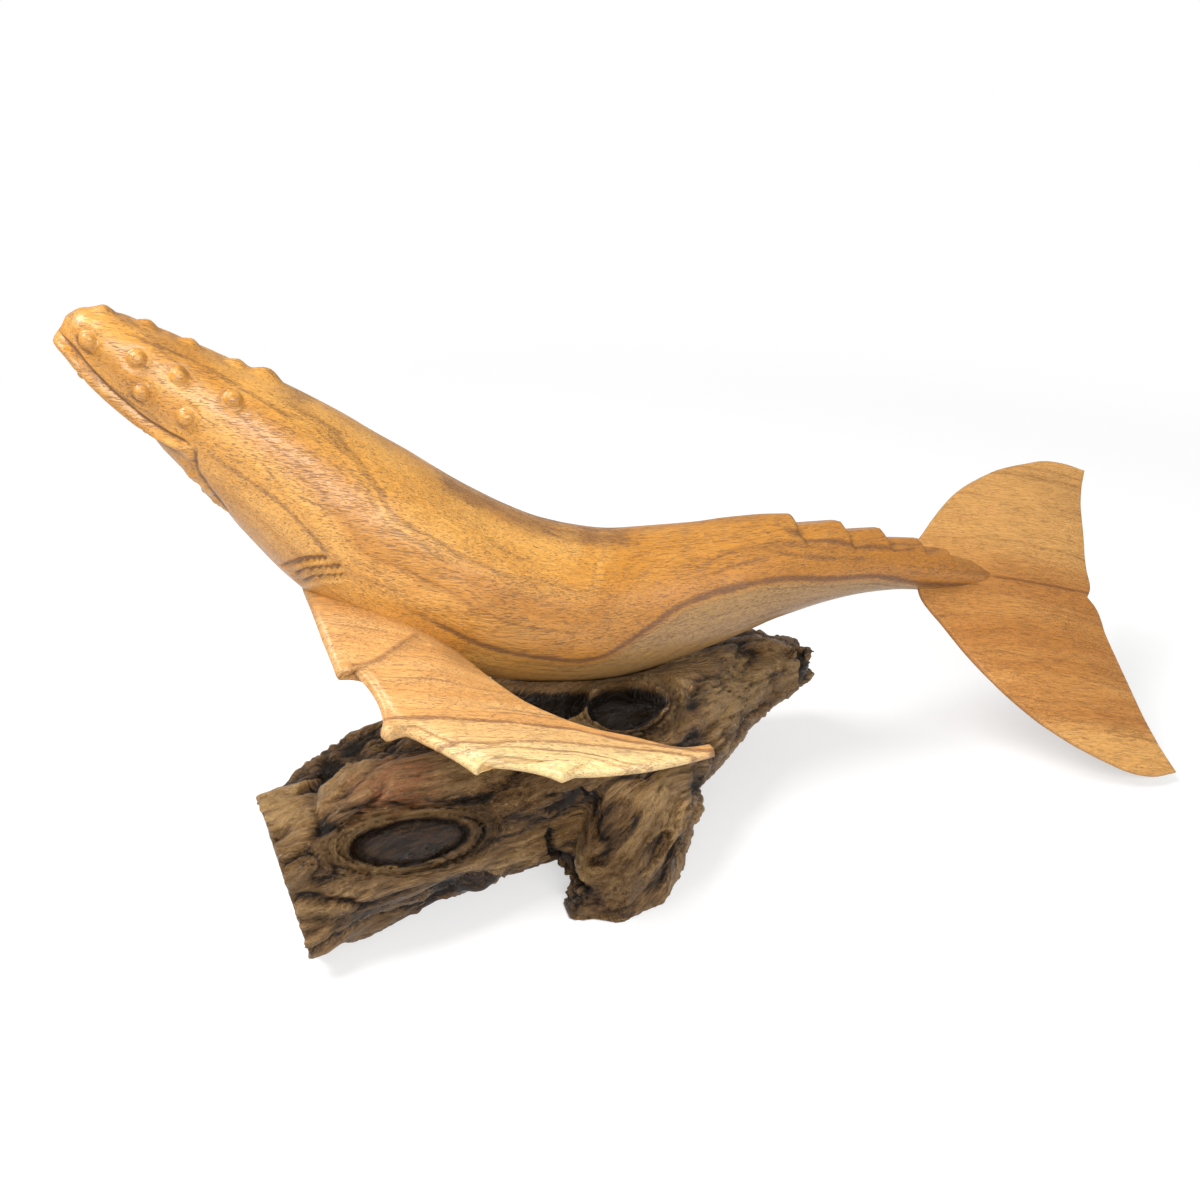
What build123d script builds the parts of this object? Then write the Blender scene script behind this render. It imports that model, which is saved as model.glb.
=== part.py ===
from build123d import *
import math
import os

# A carved wooden humpback whale that sits on a piece of gnarled root.
# The frame's origin is on the table under the middle of the belly. The
# snout points along -X, the whale's left side faces -Y, and +Z is up.

# Whale body, in millimetres
body_length = 325.0
spine_height = 78.5
snout_rise = 110.0
body_width = 63.0
body_height = 60.0

# Head carving
tubercle_radius = 3.2
tubercle_stand = 1.9
crest_radius = 4.2
crest_stand = 2.6
mouth_groove_width = 1.8
groove_depth = 1.3
pleat_width = 1.1

# Knuckled ridge on the tail stock
knuckle_depth = 4.2

# Tail flukes, and the place of the notch between them behind the stock's tip
fluke_half_span = 75.5
fluke_chord = 80.0
fluke_thickness = 9.0
fluke_edge = 1.5
fluke_pitch = 13.2
fluke_roll = 35.5
fluke_yaw = -4.0
fluke_droop = 4.3
fluke_setback = 47.0
fluke_side = 0.8
fluke_sink = 1.2

# Flippers
flipper_length = 120.0
flipper_drop = 33.0
flipper_fall = 48.0
flipper_thickness = 13.0
flipper_edge = 2.2
tooth_hollow = 2.2

# Root base
root_length = 228.0
root_width = 80.0
root_rise = 5.0
root_turn = 18.5
root_x = -12.0
root_y = -20.0
sawn_turn = 8.0
sawn_lean = 8.5
arch_width = 28.0
arch_height = 9.0
leg_length = 50.0
leg_width = 40.0
knot_length = 42.0
knot_width = 25.0
knot_depth = 4.0
knot_tilt = 45.0
knot_turn = -18.0
end_knot_radius = 6.0
seat_gap = 0.3

# Mounting pegs and glued dowels
peg_diameter = 8.0
peg_spacing = 40.0
peg_middle = 6.0
peg_in_base = 24.0
peg_in_body = 15.0
peg_clearance = 0.08
flipper_dowel_diameter = 4.0
flipper_dowel_reach = 9.0
tail_dowel_diameter = 3.0
tail_dowel_reach = 13.0
glue_clearance = 0.05
hole_overrun = 0.8
dowel_chamfer = 0.6

# Stations of the body along its spine: the place along X and the rise of the
# spine, the half width, the height above the spine and the depth below it,
# then the roundness of the upper and the lower half.
body_shares = [
    (-0.502, 1.000, 0.036, 0.050, 0.050, 2.0, 2.0),
    (-0.496, 0.988, 0.095, 0.115, 0.105, 2.2, 2.1),
    (-0.484, 0.962, 0.145, 0.160, 0.150, 2.4, 2.2),
    (-0.458, 0.904, 0.190, 0.208, 0.200, 2.6, 2.2),
    (-0.418, 0.805, 0.246, 0.267, 0.242, 2.6, 2.2),
    (-0.372, 0.686, 0.310, 0.333, 0.317, 2.5, 2.2),
    (-0.320, 0.546, 0.381, 0.408, 0.400, 2.2, 2.1),
    (-0.262, 0.378, 0.452, 0.475, 0.475, 2.1, 2.0),
    (-0.185, 0.200, 0.500, 0.492, 0.508, 2.0, 2.0),
    (-0.092, 0.059, 0.500, 0.475, 0.500, 2.0, 2.0),
    (0.000, -0.001, 0.460, 0.450, 0.458, 2.0, 2.0),
    (0.108, 0.013, 0.389, 0.408, 0.375, 1.9, 2.0),
    (0.200, 0.046, 0.310, 0.358, 0.308, 1.8, 2.0),
    (0.292, 0.051, 0.214, 0.283, 0.250, 1.6, 2.0),
    (0.369, 0.018, 0.151, 0.200, 0.192, 1.5, 2.0),
    (0.431, -0.032, 0.111, 0.142, 0.158, 1.5, 2.0),
    (0.498, -0.105, 0.032, 0.050, 0.100, 1.5, 2.0),
]

# Tubercles: the place along X, and the angle round the body in degrees,
# where 90 is the back and 180 the left flank.
side_tubercle_shares = [
    (-0.483, 174.0),
    (-0.450, 162.0),
    (-0.422, 154.0),
    (-0.386, 145.0),
    (-0.436, 188.0),
    (-0.404, 181.0),
]
top_tubercle_shares = [-0.483, -0.4535, -0.425, -0.393]
crest_share = -0.3715

# The mouth line and the three throat pleats in side view
mouth_shares = [(-0.510, 0.975), (-0.458, 0.803), (-0.402, 0.681)]
pleat_shares = [
    ((-0.336, 0.299), (-0.297, 0.356)),
    ((-0.329, 0.280), (-0.288, 0.325)),
    ((-0.324, 0.249), (-0.284, 0.299)),
]

# Knuckles: each peak and the valley behind it, along X, and the valley's
# depth as a share of the deepest.
knuckle_shares = [
    (0.225, 0.232, 0.60),
    (0.288, 0.294, 1.00),
    (0.341, 0.348, 0.90),
    (0.393, 0.398, 0.65),
    (0.433, 0.438, 0.40),
]
last_knuckle_share = 0.463

# Stations of half the flukes from the notch line outwards: the place along
# the half span, the leading and trailing edge along the chord, and the
# thickness.
fluke_shares = [
    (0.00, -1.000, 0.000, 0.70),
    (0.13, -1.000, 0.045, 1.00),
    (0.28, -0.900, 0.088, 0.95),
    (0.46, -0.765, 0.128, 0.85),
    (0.64, -0.600, 0.174, 0.72),
    (0.81, -0.375, 0.230, 0.55),
    (0.93, -0.125, 0.300, 0.40),
    (0.99, 0.060, 0.265, 0.28),
]

# Stations of a flipper: the leading and trailing edge, each as the place
# along X, outwards from the mid plane and above the tip, then the crown of
# the upper and the lower face.
flipper_shares = [
    ((-0.200, 0.050, 1.000), (0.208, 0.100, 0.242), 1.000, 0.380),
    ((-0.200, 0.183, 0.909), (0.217, 0.242, 0.242), 0.700, 0.310),
    ((-0.171, 0.383, 0.576), (0.292, 0.375, 0.212), 0.380, 0.270),
    ((-0.083, 0.592, 0.273), (0.367, 0.467, 0.152), 0.310, 0.230),
    ((0.125, 0.750, 0.061), (0.442, 0.533, 0.091), 0.250, 0.190),
    ((0.333, 0.817, -0.015), (0.525, 0.592, 0.039), 0.200, 0.170),
    ((0.550, 0.833, -0.030), (0.617, 0.650, 0.018), 0.155, 0.130),
    ((0.700, 0.833, -0.020), (0.708, 0.700, 0.000), 0.125, 0.110),
    ((0.783, 0.825, -0.015), (0.775, 0.725, -0.015), 0.110, 0.100),
]

# The shoulder, which carries the flippers, along the body
shoulder_share = -0.246

# A flipper's outline from above: each tooth's point, the step behind it and
# the hollow before it on the leading edge, then the tip, and the trailing
# edge back to the root.
flipper_root_share = (-0.200, 0.050)
tooth_shares = [
    ((-0.140, 0.386), (-0.100, 0.371), -0.4),
    ((-0.048, 0.572), (0.000, 0.563), 1.0),
    ((0.148, 0.713), (0.171, 0.683), 0.5),
    ((0.346, 0.772), (0.383, 0.758), 1.0),
]
flipper_tip_share = (0.748, 0.766)
trailing_shares = [
    (0.712, 0.755),
    (0.542, 0.640),
    (0.448, 0.583),
    (0.339, 0.486),
    (0.268, 0.379),
    (0.214, 0.276),
    (0.190, 0.150),
    (0.180, 0.050),
]
dowel_chord_shares = (0.30, 0.66)

# Stations of the root along its length: the place along it, the drift of
# its middle to the back, the half width, and the height of the underside
# and the top.
root_shares = [
    (-0.56, -0.02, 0.28, -0.03, 0.78),
    (-0.50, 0.00, 0.32, -0.03, 0.80),
    (-0.42, 0.04, 0.38, -0.03, 0.84),
    (-0.31, 0.08, 0.44, -0.03, 0.90),
    (-0.17, 0.06, 0.46, -0.03, 0.97),
    (-0.04, 0.05, 0.46, -0.05, 1.03),
    (0.07, 0.05, 0.46, -0.06, 1.06),
    (0.18, 0.04, 0.41, 0.08, 1.03),
    (0.29, 0.08, 0.32, 0.26, 0.96),
    (0.40, 0.08, 0.24, 0.38, 0.86),
    (0.48, 0.05, 0.13, 0.49, 0.73),
]
root_roundness = 2.3
lobe_shares = [
    0.04, -0.09, 0.07, 0.08, -0.08, 0.03, 0.09, -0.07,
    -0.04, 0.09, -0.05, 0.07, -0.06, 0.00, -0.06, 0.09,
]

# The root's leg from its foot upwards: the height on the root, the place of
# its middle along the root and to the front, its half length and half width.
leg_shares = [
    (-0.04, -0.30, 1.02, 0.44, 0.44),
    (0.25, -0.16, 0.94, 0.44, 0.46),
    (0.54, 0.08, 0.74, 0.46, 0.46),
    (0.80, 0.20, 0.52, 0.42, 0.36),
]

# Places on the root, as shares of its length, width and height
sawn_share = -0.486
arch_share = -0.165
arch_front_share = 0.48
knot_place_share = (-0.355, -0.295, 0.69)
end_knot_share = (0.465, -0.10, 0.62)


def body_row(share):
    """The body's station values at any place along X, and the spine's slope."""
    index = 0
    while index < len(body_shares) - 2 and body_shares[index + 1][0] < share:
        index += 1
    first = body_shares[index]
    second = body_shares[index + 1]
    part = (share - first[0]) / (second[0] - first[0])
    mixed = [a + (b - a) * part for a, b in zip(first, second)]
    run = (second[0] - first[0]) * body_length
    climb = (second[1] - first[1]) * snout_rise
    return mixed, Vector(run, 0, climb).normalized()


def skin_point(share, degrees, sink):
    """A point a little under the skin, at a place along X and an angle."""
    row, slope = body_row(share)
    side = math.cos(math.radians(degrees))
    up = math.sin(math.radians(degrees))
    power = 2 / (row[5] if up > 0 else row[6])
    height = (row[3] if up > 0 else row[4]) * body_height - sink
    half = row[2] * body_width - sink
    across = math.copysign(abs(side) ** power, side) * half
    rise = math.copysign(abs(up) ** power, up) * height
    return spine_point(share) + Vector(0, across, 0) + Vector(-slope.Z, 0, slope.X) * rise


def body_plane(index):
    """The plane of one body station, square to the spine."""
    before = body_shares[max(index - 1, 0)]
    after = body_shares[min(index + 1, len(body_shares) - 1)]
    run = (after[0] - before[0]) * body_length
    climb = (after[1] - before[1]) * snout_rise
    here = body_shares[index]
    return Plane(origin=spine_point(here[0]), x_dir=(0, 1, 0), z_dir=(run, 0, climb))


def rounded_points(half_width, rise, fall, top_power, low_power, lobes=(0,) * 16):
    """Points of a section whose halves are superellipses, swelled by lobes."""
    points = []
    for index, lobe in enumerate(lobes):
        angle = 2 * math.pi * index / len(lobes)
        side = math.cos(angle)
        up = math.sin(angle)
        power = 2 / (top_power if up > 0 else low_power)
        height = (rise if up > 0 else fall) * (1 + lobe)
        x = math.copysign(abs(side) ** power, side) * half_width * (1 + lobe)
        y = math.copysign(abs(up) ** power, up) * height
        points.append((x, y))
    return points


def body_loft(inset):
    """The body's skin, drawn in by an inset all round."""
    with BuildPart() as skin:
        for index, row in enumerate(body_shares):
            half_width = row[2] * body_width - inset
            rise = row[3] * body_height - inset
            fall = row[4] * body_height - inset
            points = rounded_points(half_width, rise, fall, row[5], row[6])
            with BuildSketch(body_plane(index)):
                with BuildLine():
                    Spline(*points, periodic=True)
                make_face()
        loft()
    return skin.part


def spine_point(share):
    """The point of the body's spine at a place along X."""
    row = body_row(share)[0]
    return Vector(row[0] * body_length, 0, spine_height + row[1] * snout_rise)


shoulder = spine_point(shoulder_share)


def bump_place(share, degrees, radius, stand):
    """The place of a round bump that stands out of the skin, poles to the flanks."""
    return Location(skin_point(share, degrees, radius - stand), (90, 0, 0))


def side_view(point):
    """A pair of shares as a point in the whale's side view."""
    return (point[0] * body_length, spine_height + point[1] * snout_rise)


def lens(plane, lead, trail, crown, hollow, edge):
    """A blade's section, crowned above and below, with blunt edges."""
    middle = (lead + trail) / 2
    with BuildSketch(plane) as section:
        with BuildLine():
            ThreePointArc((lead, edge / 2), (middle, crown), (trail, edge / 2))
            Line((trail, edge / 2), (trail, -edge / 2))
            ThreePointArc((trail, -edge / 2), (middle, -hollow), (lead, -edge / 2))
            Line((lead, -edge / 2), (lead, edge / 2))
        make_face()
    return section.sketch


# The flukes' directions: along the chord, level across it, and square to both
pitch = math.radians(fluke_pitch)
yaw = math.radians(fluke_yaw)
chordwise = Vector(
    math.cos(pitch) * math.cos(yaw), math.cos(pitch) * math.sin(yaw), -math.sin(pitch)
)
stock_tip = spine_point(body_shares[-1][0])
notch = stock_tip + chordwise * fluke_setback - Vector(0, fluke_side, fluke_sink)
level = Vector(math.sin(yaw), -math.cos(yaw), 0)
upright = level.cross(chordwise)


def sideways(degrees):
    """The direction across the flukes, rolled down to the left by an angle."""
    angle = math.radians(degrees)
    return level * math.cos(angle) - upright * math.sin(angle)


def fluke_half(sign):
    """One half of the flukes, lofted outwards from the crease."""
    outwards = sideways(fluke_roll + sign * fluke_droop) * sign
    sections = []
    for span, lead, trail, thick in fluke_shares:
        origin = notch + outwards * (span * fluke_half_span)
        plane = Plane(origin=origin, x_dir=chordwise, z_dir=sideways(fluke_roll))
        crown = thick * fluke_thickness / 2
        ends = (lead * fluke_chord, trail * fluke_chord)
        sections.append(lens(plane, *ends, crown, crown, fluke_edge))
    with BuildPart() as half:
        loft(sections)
    return half.part


def flipper_point(place):
    """A flipper place of three shares, on the whale's left side."""
    outwards = Vector(place[0], -place[1], 0) * flipper_length
    return shoulder + outwards + Vector(0, 0, place[2] * flipper_drop - flipper_fall)


def flipper_plan(place):
    """A pair of flipper shares as a point seen from above."""
    return (shoulder.X + place[0] * flipper_length, -place[1] * flipper_length)


def flipper_middle(index):
    """The middle of one flipper station's chord."""
    lead, trail = flipper_shares[index][:2]
    return (flipper_point(lead) + flipper_point(trail)) / 2


def flipper_plane(index):
    """The plane of one flipper station, with X along its chord."""
    lead, trail = flipper_shares[index][:2]
    chord = (flipper_point(trail) - flipper_point(lead)).normalized()
    before = flipper_middle(max(index - 1, 0))
    after = flipper_middle(min(index + 1, len(flipper_shares) - 1))
    along = after - before
    along = along - chord * along.dot(chord)
    return Plane(origin=flipper_middle(index), x_dir=chord, z_dir=along)


def blade_middle(index, chord_share):
    """The point midway through the blade at one station, along its chord."""
    lead, trail, crown, hollow = flipper_shares[index]
    start = flipper_point(lead)
    rise = (crown - hollow) * flipper_thickness / 2
    return start + (flipper_point(trail) - start) * chord_share + Vector(0, 0, rise)


# The flipper dowels follow the blade out of the body
dowel_planes = []
for chord_share in dowel_chord_shares:
    seat = blade_middle(1, chord_share)
    dowel_planes.append(Plane(origin=seat, z_dir=blade_middle(2, chord_share) - seat))

# The tail dowel lies in the flukes' blade and crosses the tip of the stock
tail_dowel_plane = Plane(origin=notch - chordwise * fluke_setback, z_dir=chordwise)

# The two pegs stand under the belly, and their length follows its seat
peg_places = [peg_middle - peg_spacing / 2, peg_middle + peg_spacing / 2]
peg_seats = [skin_point(place / body_length, 270, 0) for place in peg_places]

# Holes for the glued dowels
with BuildPart() as flipper_dowel_holes:
    for plane in dowel_planes:
        with BuildSketch(plane):
            Circle(flipper_dowel_diameter / 2 + glue_clearance)
        extrude(amount=flipper_dowel_reach + hole_overrun, both=True)

with BuildPart() as tail_dowel_hole:
    with BuildSketch(tail_dowel_plane):
        Circle(tail_dowel_diameter / 2 + glue_clearance)
    extrude(amount=tail_dowel_reach + hole_overrun, both=True)

# The lines of the mouth and the pleats, cut in from both flanks
with BuildPart() as carved_lines:
    with BuildSketch(Plane.XZ):
        with BuildLine():
            ThreePointArc(*[side_view(point) for point in mouth_shares])
        trace(line_width=mouth_groove_width)
        for start, end in pleat_shares:
            with BuildLine():
                Line(side_view(start), side_view(end))
            trace(line_width=pleat_width)
    extrude(amount=body_width, both=True)
    add(body_loft(groove_depth), mode=Mode.SUBTRACT)

# Whale body with its head, ridge and joints
body_skin = body_loft(0)
with BuildPart() as whale_body:
    add(body_skin)
    for share, degrees in side_tubercle_shares:
        for turned in (degrees, 180 - degrees):
            with Locations(bump_place(share, turned, tubercle_radius, tubercle_stand)):
                Sphere(tubercle_radius)
    for share in top_tubercle_shares:
        with Locations(bump_place(share, 90, tubercle_radius, tubercle_stand)):
            Sphere(tubercle_radius)
    with Locations(bump_place(crest_share, 90, crest_radius, crest_stand)):
        Sphere(crest_radius)
    add(carved_lines.part, mode=Mode.SUBTRACT)
    with BuildSketch(Plane.XZ):
        with BuildLine():
            ridge = []
            for peak, valley, depth in knuckle_shares:
                crest = skin_point(peak, 90, 0)
                low = skin_point(valley, 90, 0) - Vector(0, 0, depth * knuckle_depth)
                ridge.append((crest.X, crest.Z))
                ridge.append((low.X, low.Z))
            last = skin_point(last_knuckle_share, 90, 0)
            beyond = last + (last - low)
            ridge.append((beyond.X, beyond.Z))
            ridge.append((beyond.X, spine_height + snout_rise))
            ridge.append((ridge[0][0], spine_height + snout_rise))
            Polyline(*ridge, close=True)
        make_face()
    extrude(amount=body_width / 2, both=True, mode=Mode.SUBTRACT)
    for seat in peg_seats:
        with BuildSketch(Plane.XY.offset(seat.Z + peg_in_body + hole_overrun)):
            with Locations((seat.X, seat.Y)):
                Circle(peg_diameter / 2 + peg_clearance)
        extrude(amount=-peg_in_body - body_height / 2, mode=Mode.SUBTRACT)
    add(flipper_dowel_holes.part, mode=Mode.SUBTRACT)
    mirror(flipper_dowel_holes.part, about=Plane.XZ, mode=Mode.SUBTRACT)
    add(tail_dowel_hole.part, mode=Mode.SUBTRACT)

# Left flipper: a crowned blade trimmed to its toothed outline, whose root
# is shaped to the body's flank
blade_sections = []
for index, (lead, trail, crown, hollow) in enumerate(flipper_shares):
    half_chord = (flipper_point(trail) - flipper_point(lead)).length / 2
    above = crown * flipper_thickness
    below = hollow * flipper_thickness
    plane = flipper_plane(index)
    blade_sections.append(lens(plane, -half_chord, half_chord, above, below, min(flipper_edge, below)))

with BuildPart() as left_flipper:
    loft(blade_sections)
    with BuildSketch(Plane.XY.offset(shoulder.Z - flipper_fall - flipper_thickness)):
        with BuildLine():
            start = flipper_plan(flipper_root_share)
            for point, step, hollow in tooth_shares:
                SagittaArc(start, flipper_plan(point), hollow * tooth_hollow)
                Line(flipper_plan(point), flipper_plan(step))
                start = flipper_plan(step)
            SagittaArc(start, flipper_plan(flipper_tip_share), -tooth_hollow)
            trail = [flipper_plan(flipper_tip_share)] + [flipper_plan(p) for p in trailing_shares]
            Spline(*trail)
            Line(trail[-1], flipper_plan(flipper_root_share))
        make_face()
    extrude(amount=flipper_drop + 3 * flipper_thickness, mode=Mode.INTERSECT)
    add(body_skin, mode=Mode.SUBTRACT)
    add(flipper_dowel_holes.part, mode=Mode.SUBTRACT)

with BuildPart() as right_flipper:
    mirror(left_flipper.part, about=Plane.XZ)

# Flukes in one piece, notched to the pointed end of the stock
with BuildPart() as tail_flukes:
    add(fluke_half(1))
    add(fluke_half(-1))
    add(body_skin, mode=Mode.SUBTRACT)
    add(tail_dowel_hole.part, mode=Mode.SUBTRACT)

# Glued dowels of the flippers and the tail
with BuildPart() as left_flipper_dowels:
    for plane in dowel_planes:
        with BuildSketch(plane):
            Circle(flipper_dowel_diameter / 2)
        extrude(amount=flipper_dowel_reach, both=True)
    chamfer(edges().filter_by(GeomType.CIRCLE), dowel_chamfer)

with BuildPart() as right_flipper_dowels:
    mirror(left_flipper_dowels.part, about=Plane.XZ)

with BuildPart() as tail_dowel:
    with BuildSketch(tail_dowel_plane):
        Circle(tail_dowel_diameter / 2)
    extrude(amount=tail_dowel_reach, both=True)
    chamfer(edges().filter_by(GeomType.CIRCLE), dowel_chamfer)

# Pegs glued into the root, on which the whale is lifted off
with BuildPart() as mounting_pegs:
    for seat in peg_seats:
        with BuildSketch(Plane.XY.offset(seat.Z - peg_in_base)):
            with Locations((seat.X, seat.Y)):
                Circle(peg_diameter / 2)
        extrude(amount=peg_in_base + peg_in_body)
    chamfer(edges().filter_by(GeomType.CIRCLE), dowel_chamfer)

# Root base: a lobed log with a leg, cut flat where it stands, sawn at its
# left end and hollowed to seat the belly
turn = math.radians(root_turn)
along = Vector(math.cos(turn), math.sin(turn), 0)
back = Vector(-math.sin(turn), math.cos(turn), 0)
root_middle = Vector(root_x, root_y, 0)
root_height = skin_point(0, 270, 0).Z + root_rise


def root_place(length_share, width_share, height_share):
    """A place on the root, from its own shares."""
    sideways_part = back * (width_share * root_width)
    up = Vector(0, 0, height_share * root_height)
    return root_middle + along * (length_share * root_length) + sideways_part + up


with BuildPart() as root_log:
    for index, (place, drift, half_width, low, top) in enumerate(root_shares):
        middle = root_place(place, drift, (low + top) / 2)
        half_height = (top - low) / 2 * root_height
        turned_lobes = lobe_shares[index // 2:] + lobe_shares[:index // 2]
        points = rounded_points(
            half_width * root_width,
            half_height,
            half_height,
            root_roundness,
            root_roundness,
            turned_lobes,
        )
        with BuildSketch(Plane(origin=middle, x_dir=back, z_dir=along)):
            with BuildLine():
                Spline(*points, periodic=True)
            make_face()
    loft()

with BuildPart() as root_leg:
    for height, place, front, half_length, half_width in leg_shares:
        middle = root_middle + along * (place * leg_length) - back * (front * leg_width)
        points = rounded_points(
            half_length * leg_length,
            half_width * leg_width,
            half_width * leg_width,
            root_roundness,
            root_roundness,
            lobe_shares,
        )
        with BuildSketch(
            Plane(origin=middle + Vector(0, 0, height * root_height), x_dir=along, z_dir=(0, 0, 1))
        ):
            with BuildLine():
                Spline(*points, periodic=True)
            make_face()
    loft()

# An egg-shaped hollow where a knot has rotted out
with BuildPart() as knot_hollow:
    Sphere(knot_length / 2)
    scale(by=(1, knot_width / knot_length, 2 * knot_depth / knot_length))

tilt = math.radians(knot_tilt)
knot_out = Vector(0, 0, 1) * math.sin(tilt) - back * math.cos(tilt)
knot_plane = Plane(origin=root_place(*knot_place_share), x_dir=along, z_dir=knot_out)
sawn_out = Vector(-1, 0, 0).rotate(Axis.Y, -sawn_lean).rotate(Axis.Z, sawn_turn)
arch_front = root_place(arch_share, -arch_front_share, 0)

with BuildPart() as root_base:
    add(root_log.part)
    add(root_leg.part)
    split(bisect_by=Plane.XY, keep=Keep.TOP)
    split(
        bisect_by=Plane(origin=root_place(sawn_share, 0, 0), z_dir=sawn_out), keep=Keep.BOTTOM
    )
    with BuildSketch(Plane(origin=arch_front, x_dir=along, z_dir=-back)):
        Ellipse(arch_width / 2, arch_height)
    extrude(amount=-2 * root_width, mode=Mode.SUBTRACT)
    with Locations(knot_plane.rotated((0, 0, knot_turn)).location):
        add(knot_hollow.part, mode=Mode.SUBTRACT)
    with Locations(root_place(*end_knot_share)):
        Sphere(end_knot_radius, mode=Mode.SUBTRACT)
    add(body_loft(-seat_gap), mode=Mode.SUBTRACT)
    for seat in peg_seats:
        with BuildSketch(Plane.XY.offset(seat.Z - peg_in_base - hole_overrun)):
            with Locations((seat.X, seat.Y)):
                Circle(peg_diameter / 2 + glue_clearance)
        extrude(amount=body_height, mode=Mode.SUBTRACT)

# Each piece is written under its own name
pieces = {
    "root_base": root_base.part,
    "mounting_pegs": mounting_pegs.part,
    "whale_body": whale_body.part,
    "left_flipper": left_flipper.part,
    "right_flipper": right_flipper.part,
    "tail_flukes": tail_flukes.part,
    "left_flipper_dowels": left_flipper_dowels.part,
    "right_flipper_dowels": right_flipper_dowels.part,
    "tail_dowel": tail_dowel.part,
}
os.makedirs("parts", exist_ok=True)
for label, piece in pieces.items():
    piece.label = label
    export_step(piece, f"parts/{label}.step")
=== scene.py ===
"""Looks of a carved humpback whale that sits on a gnarled root.

Lengths are in millimetres in the part's own frame, and meshes are scaled to metres as they
are made: the snout points along -X, the whale's left side faces -Y, and Z is up. Only the
studio is in metres.
"""

import logging
import math
from dataclasses import dataclass
from enum import Enum, IntEnum
from itertools import product

import bpy
import numpy as np
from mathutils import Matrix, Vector


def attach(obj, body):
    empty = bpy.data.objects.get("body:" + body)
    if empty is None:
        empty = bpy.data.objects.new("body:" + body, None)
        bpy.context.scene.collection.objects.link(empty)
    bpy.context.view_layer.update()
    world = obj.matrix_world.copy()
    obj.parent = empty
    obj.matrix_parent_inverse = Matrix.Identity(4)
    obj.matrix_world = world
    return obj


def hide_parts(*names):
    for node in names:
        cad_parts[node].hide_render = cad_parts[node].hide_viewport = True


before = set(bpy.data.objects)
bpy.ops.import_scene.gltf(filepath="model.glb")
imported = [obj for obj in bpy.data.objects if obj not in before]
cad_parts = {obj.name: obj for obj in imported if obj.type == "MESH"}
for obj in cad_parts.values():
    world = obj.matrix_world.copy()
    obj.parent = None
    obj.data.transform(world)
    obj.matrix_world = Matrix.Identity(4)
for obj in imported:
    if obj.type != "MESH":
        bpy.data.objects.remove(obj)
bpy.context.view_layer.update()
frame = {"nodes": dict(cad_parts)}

MM = 0.001
LOG = logging.getLogger("whale")

Array = np.ndarray
Color = tuple[float, float, float, float]
Triple = tuple[float, float, float]
Piece = bpy.types.Object
Socket = bpy.types.NodeSocket

# Values in a noise's random table, and the primes that spread the lattice's cells over it
NOISE_TABLE = 4096
CELL_PRIMES = (73856093, 19349663, 83492791)


class Side(Enum):
    """A flank of the whale, and its sign along Y."""

    LEFT = -1
    RIGHT = 1


class Seed(IntEnum):
    """The random table of each noise. Its finer layers take the tables after it."""

    FLUKE_WAVE = 4
    BODY_MARKS = 5
    FLIPPER_MARKS = 12
    FLUKE_MARKS = 15
    STREAK_WAVE = 21
    THROAT_CHIPS = 31
    TUBERCLES = 33
    FLOW_UP = 41
    FLOW_BACK = 43
    LUMPS = 50
    LEDGES = 55
    FURROWS = 60
    THREADS = 70
    GRIT = 80
    CRACKS = 91
    KNOT_RIMS = 95
    KNOT_LIPS = 96
    WRINKLES = 97
    SAW_MARKS = 99
    PATCHES = 101


# Sums on whole arrays


def ease(low: float, high: float, values: Array) -> Array:
    """Smooth step: 0 below low, 1 above high, and 3t^2 - 2t^3 between.

    Args:
        low: value where the step starts.
        high: value where it ends. It may be the smaller one.
        values: array to take the step of.

    Returns:
        Array of the same shape, from 0 to 1.
    """
    part = np.clip((values - low) / (high - low), 0.0, 1.0)
    return part * part * (3.0 - 2.0 * part)


def bell(values: Array, width: float) -> Array:
    """Bell curve exp(-(v / width)^2), 1 in the middle."""
    return np.exp(-((values / width) ** 2))


def lattice_noise(points: Array, seed: int) -> Array:
    """Smooth noise from -1 to 1.

    Each corner of a unit lattice has a seeded random value, and a point takes the mean of
    the eight corners round it, weighted by smooth steps along the three axes.

    Args:
        points: places, shape (..., 3), in lattice cells.
        seed: picks the table of random values.

    Returns:
        One value for each place.
    """
    table = np.random.default_rng(seed).uniform(-1.0, 1.0, NOISE_TABLE)
    cell = np.floor(points).astype(np.int64)
    step = ease(0.0, 1.0, points - cell)
    total = np.zeros(points.shape[:-1])
    for corner in product((0, 1), repeat=3):
        spread = (cell + np.array(corner)) * np.array(CELL_PRIMES)
        mixed = np.bitwise_xor.reduce(spread, axis=-1)
        weight = np.prod(np.where(np.array(corner) == 1, step, 1.0 - step), axis=-1)
        total += weight * table[mixed % NOISE_TABLE]
    return total


def layered_noise(points: Array, seed: int, layers: int = 3) -> Array:
    """Sum of lattice noises, each twice as fine and half as strong as the last.

    Args:
        points: places, shape (..., 3), in cells of the coarsest noise.
        seed: seed of the coarsest noise.
        layers: how many noises are added.

    Returns:
        One value for each place.
    """
    total = np.zeros(points.shape[:-1])
    for layer in range(layers):
        total += lattice_noise(points * 2.0**layer, seed + layer) / 2.0**layer
    return total


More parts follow.
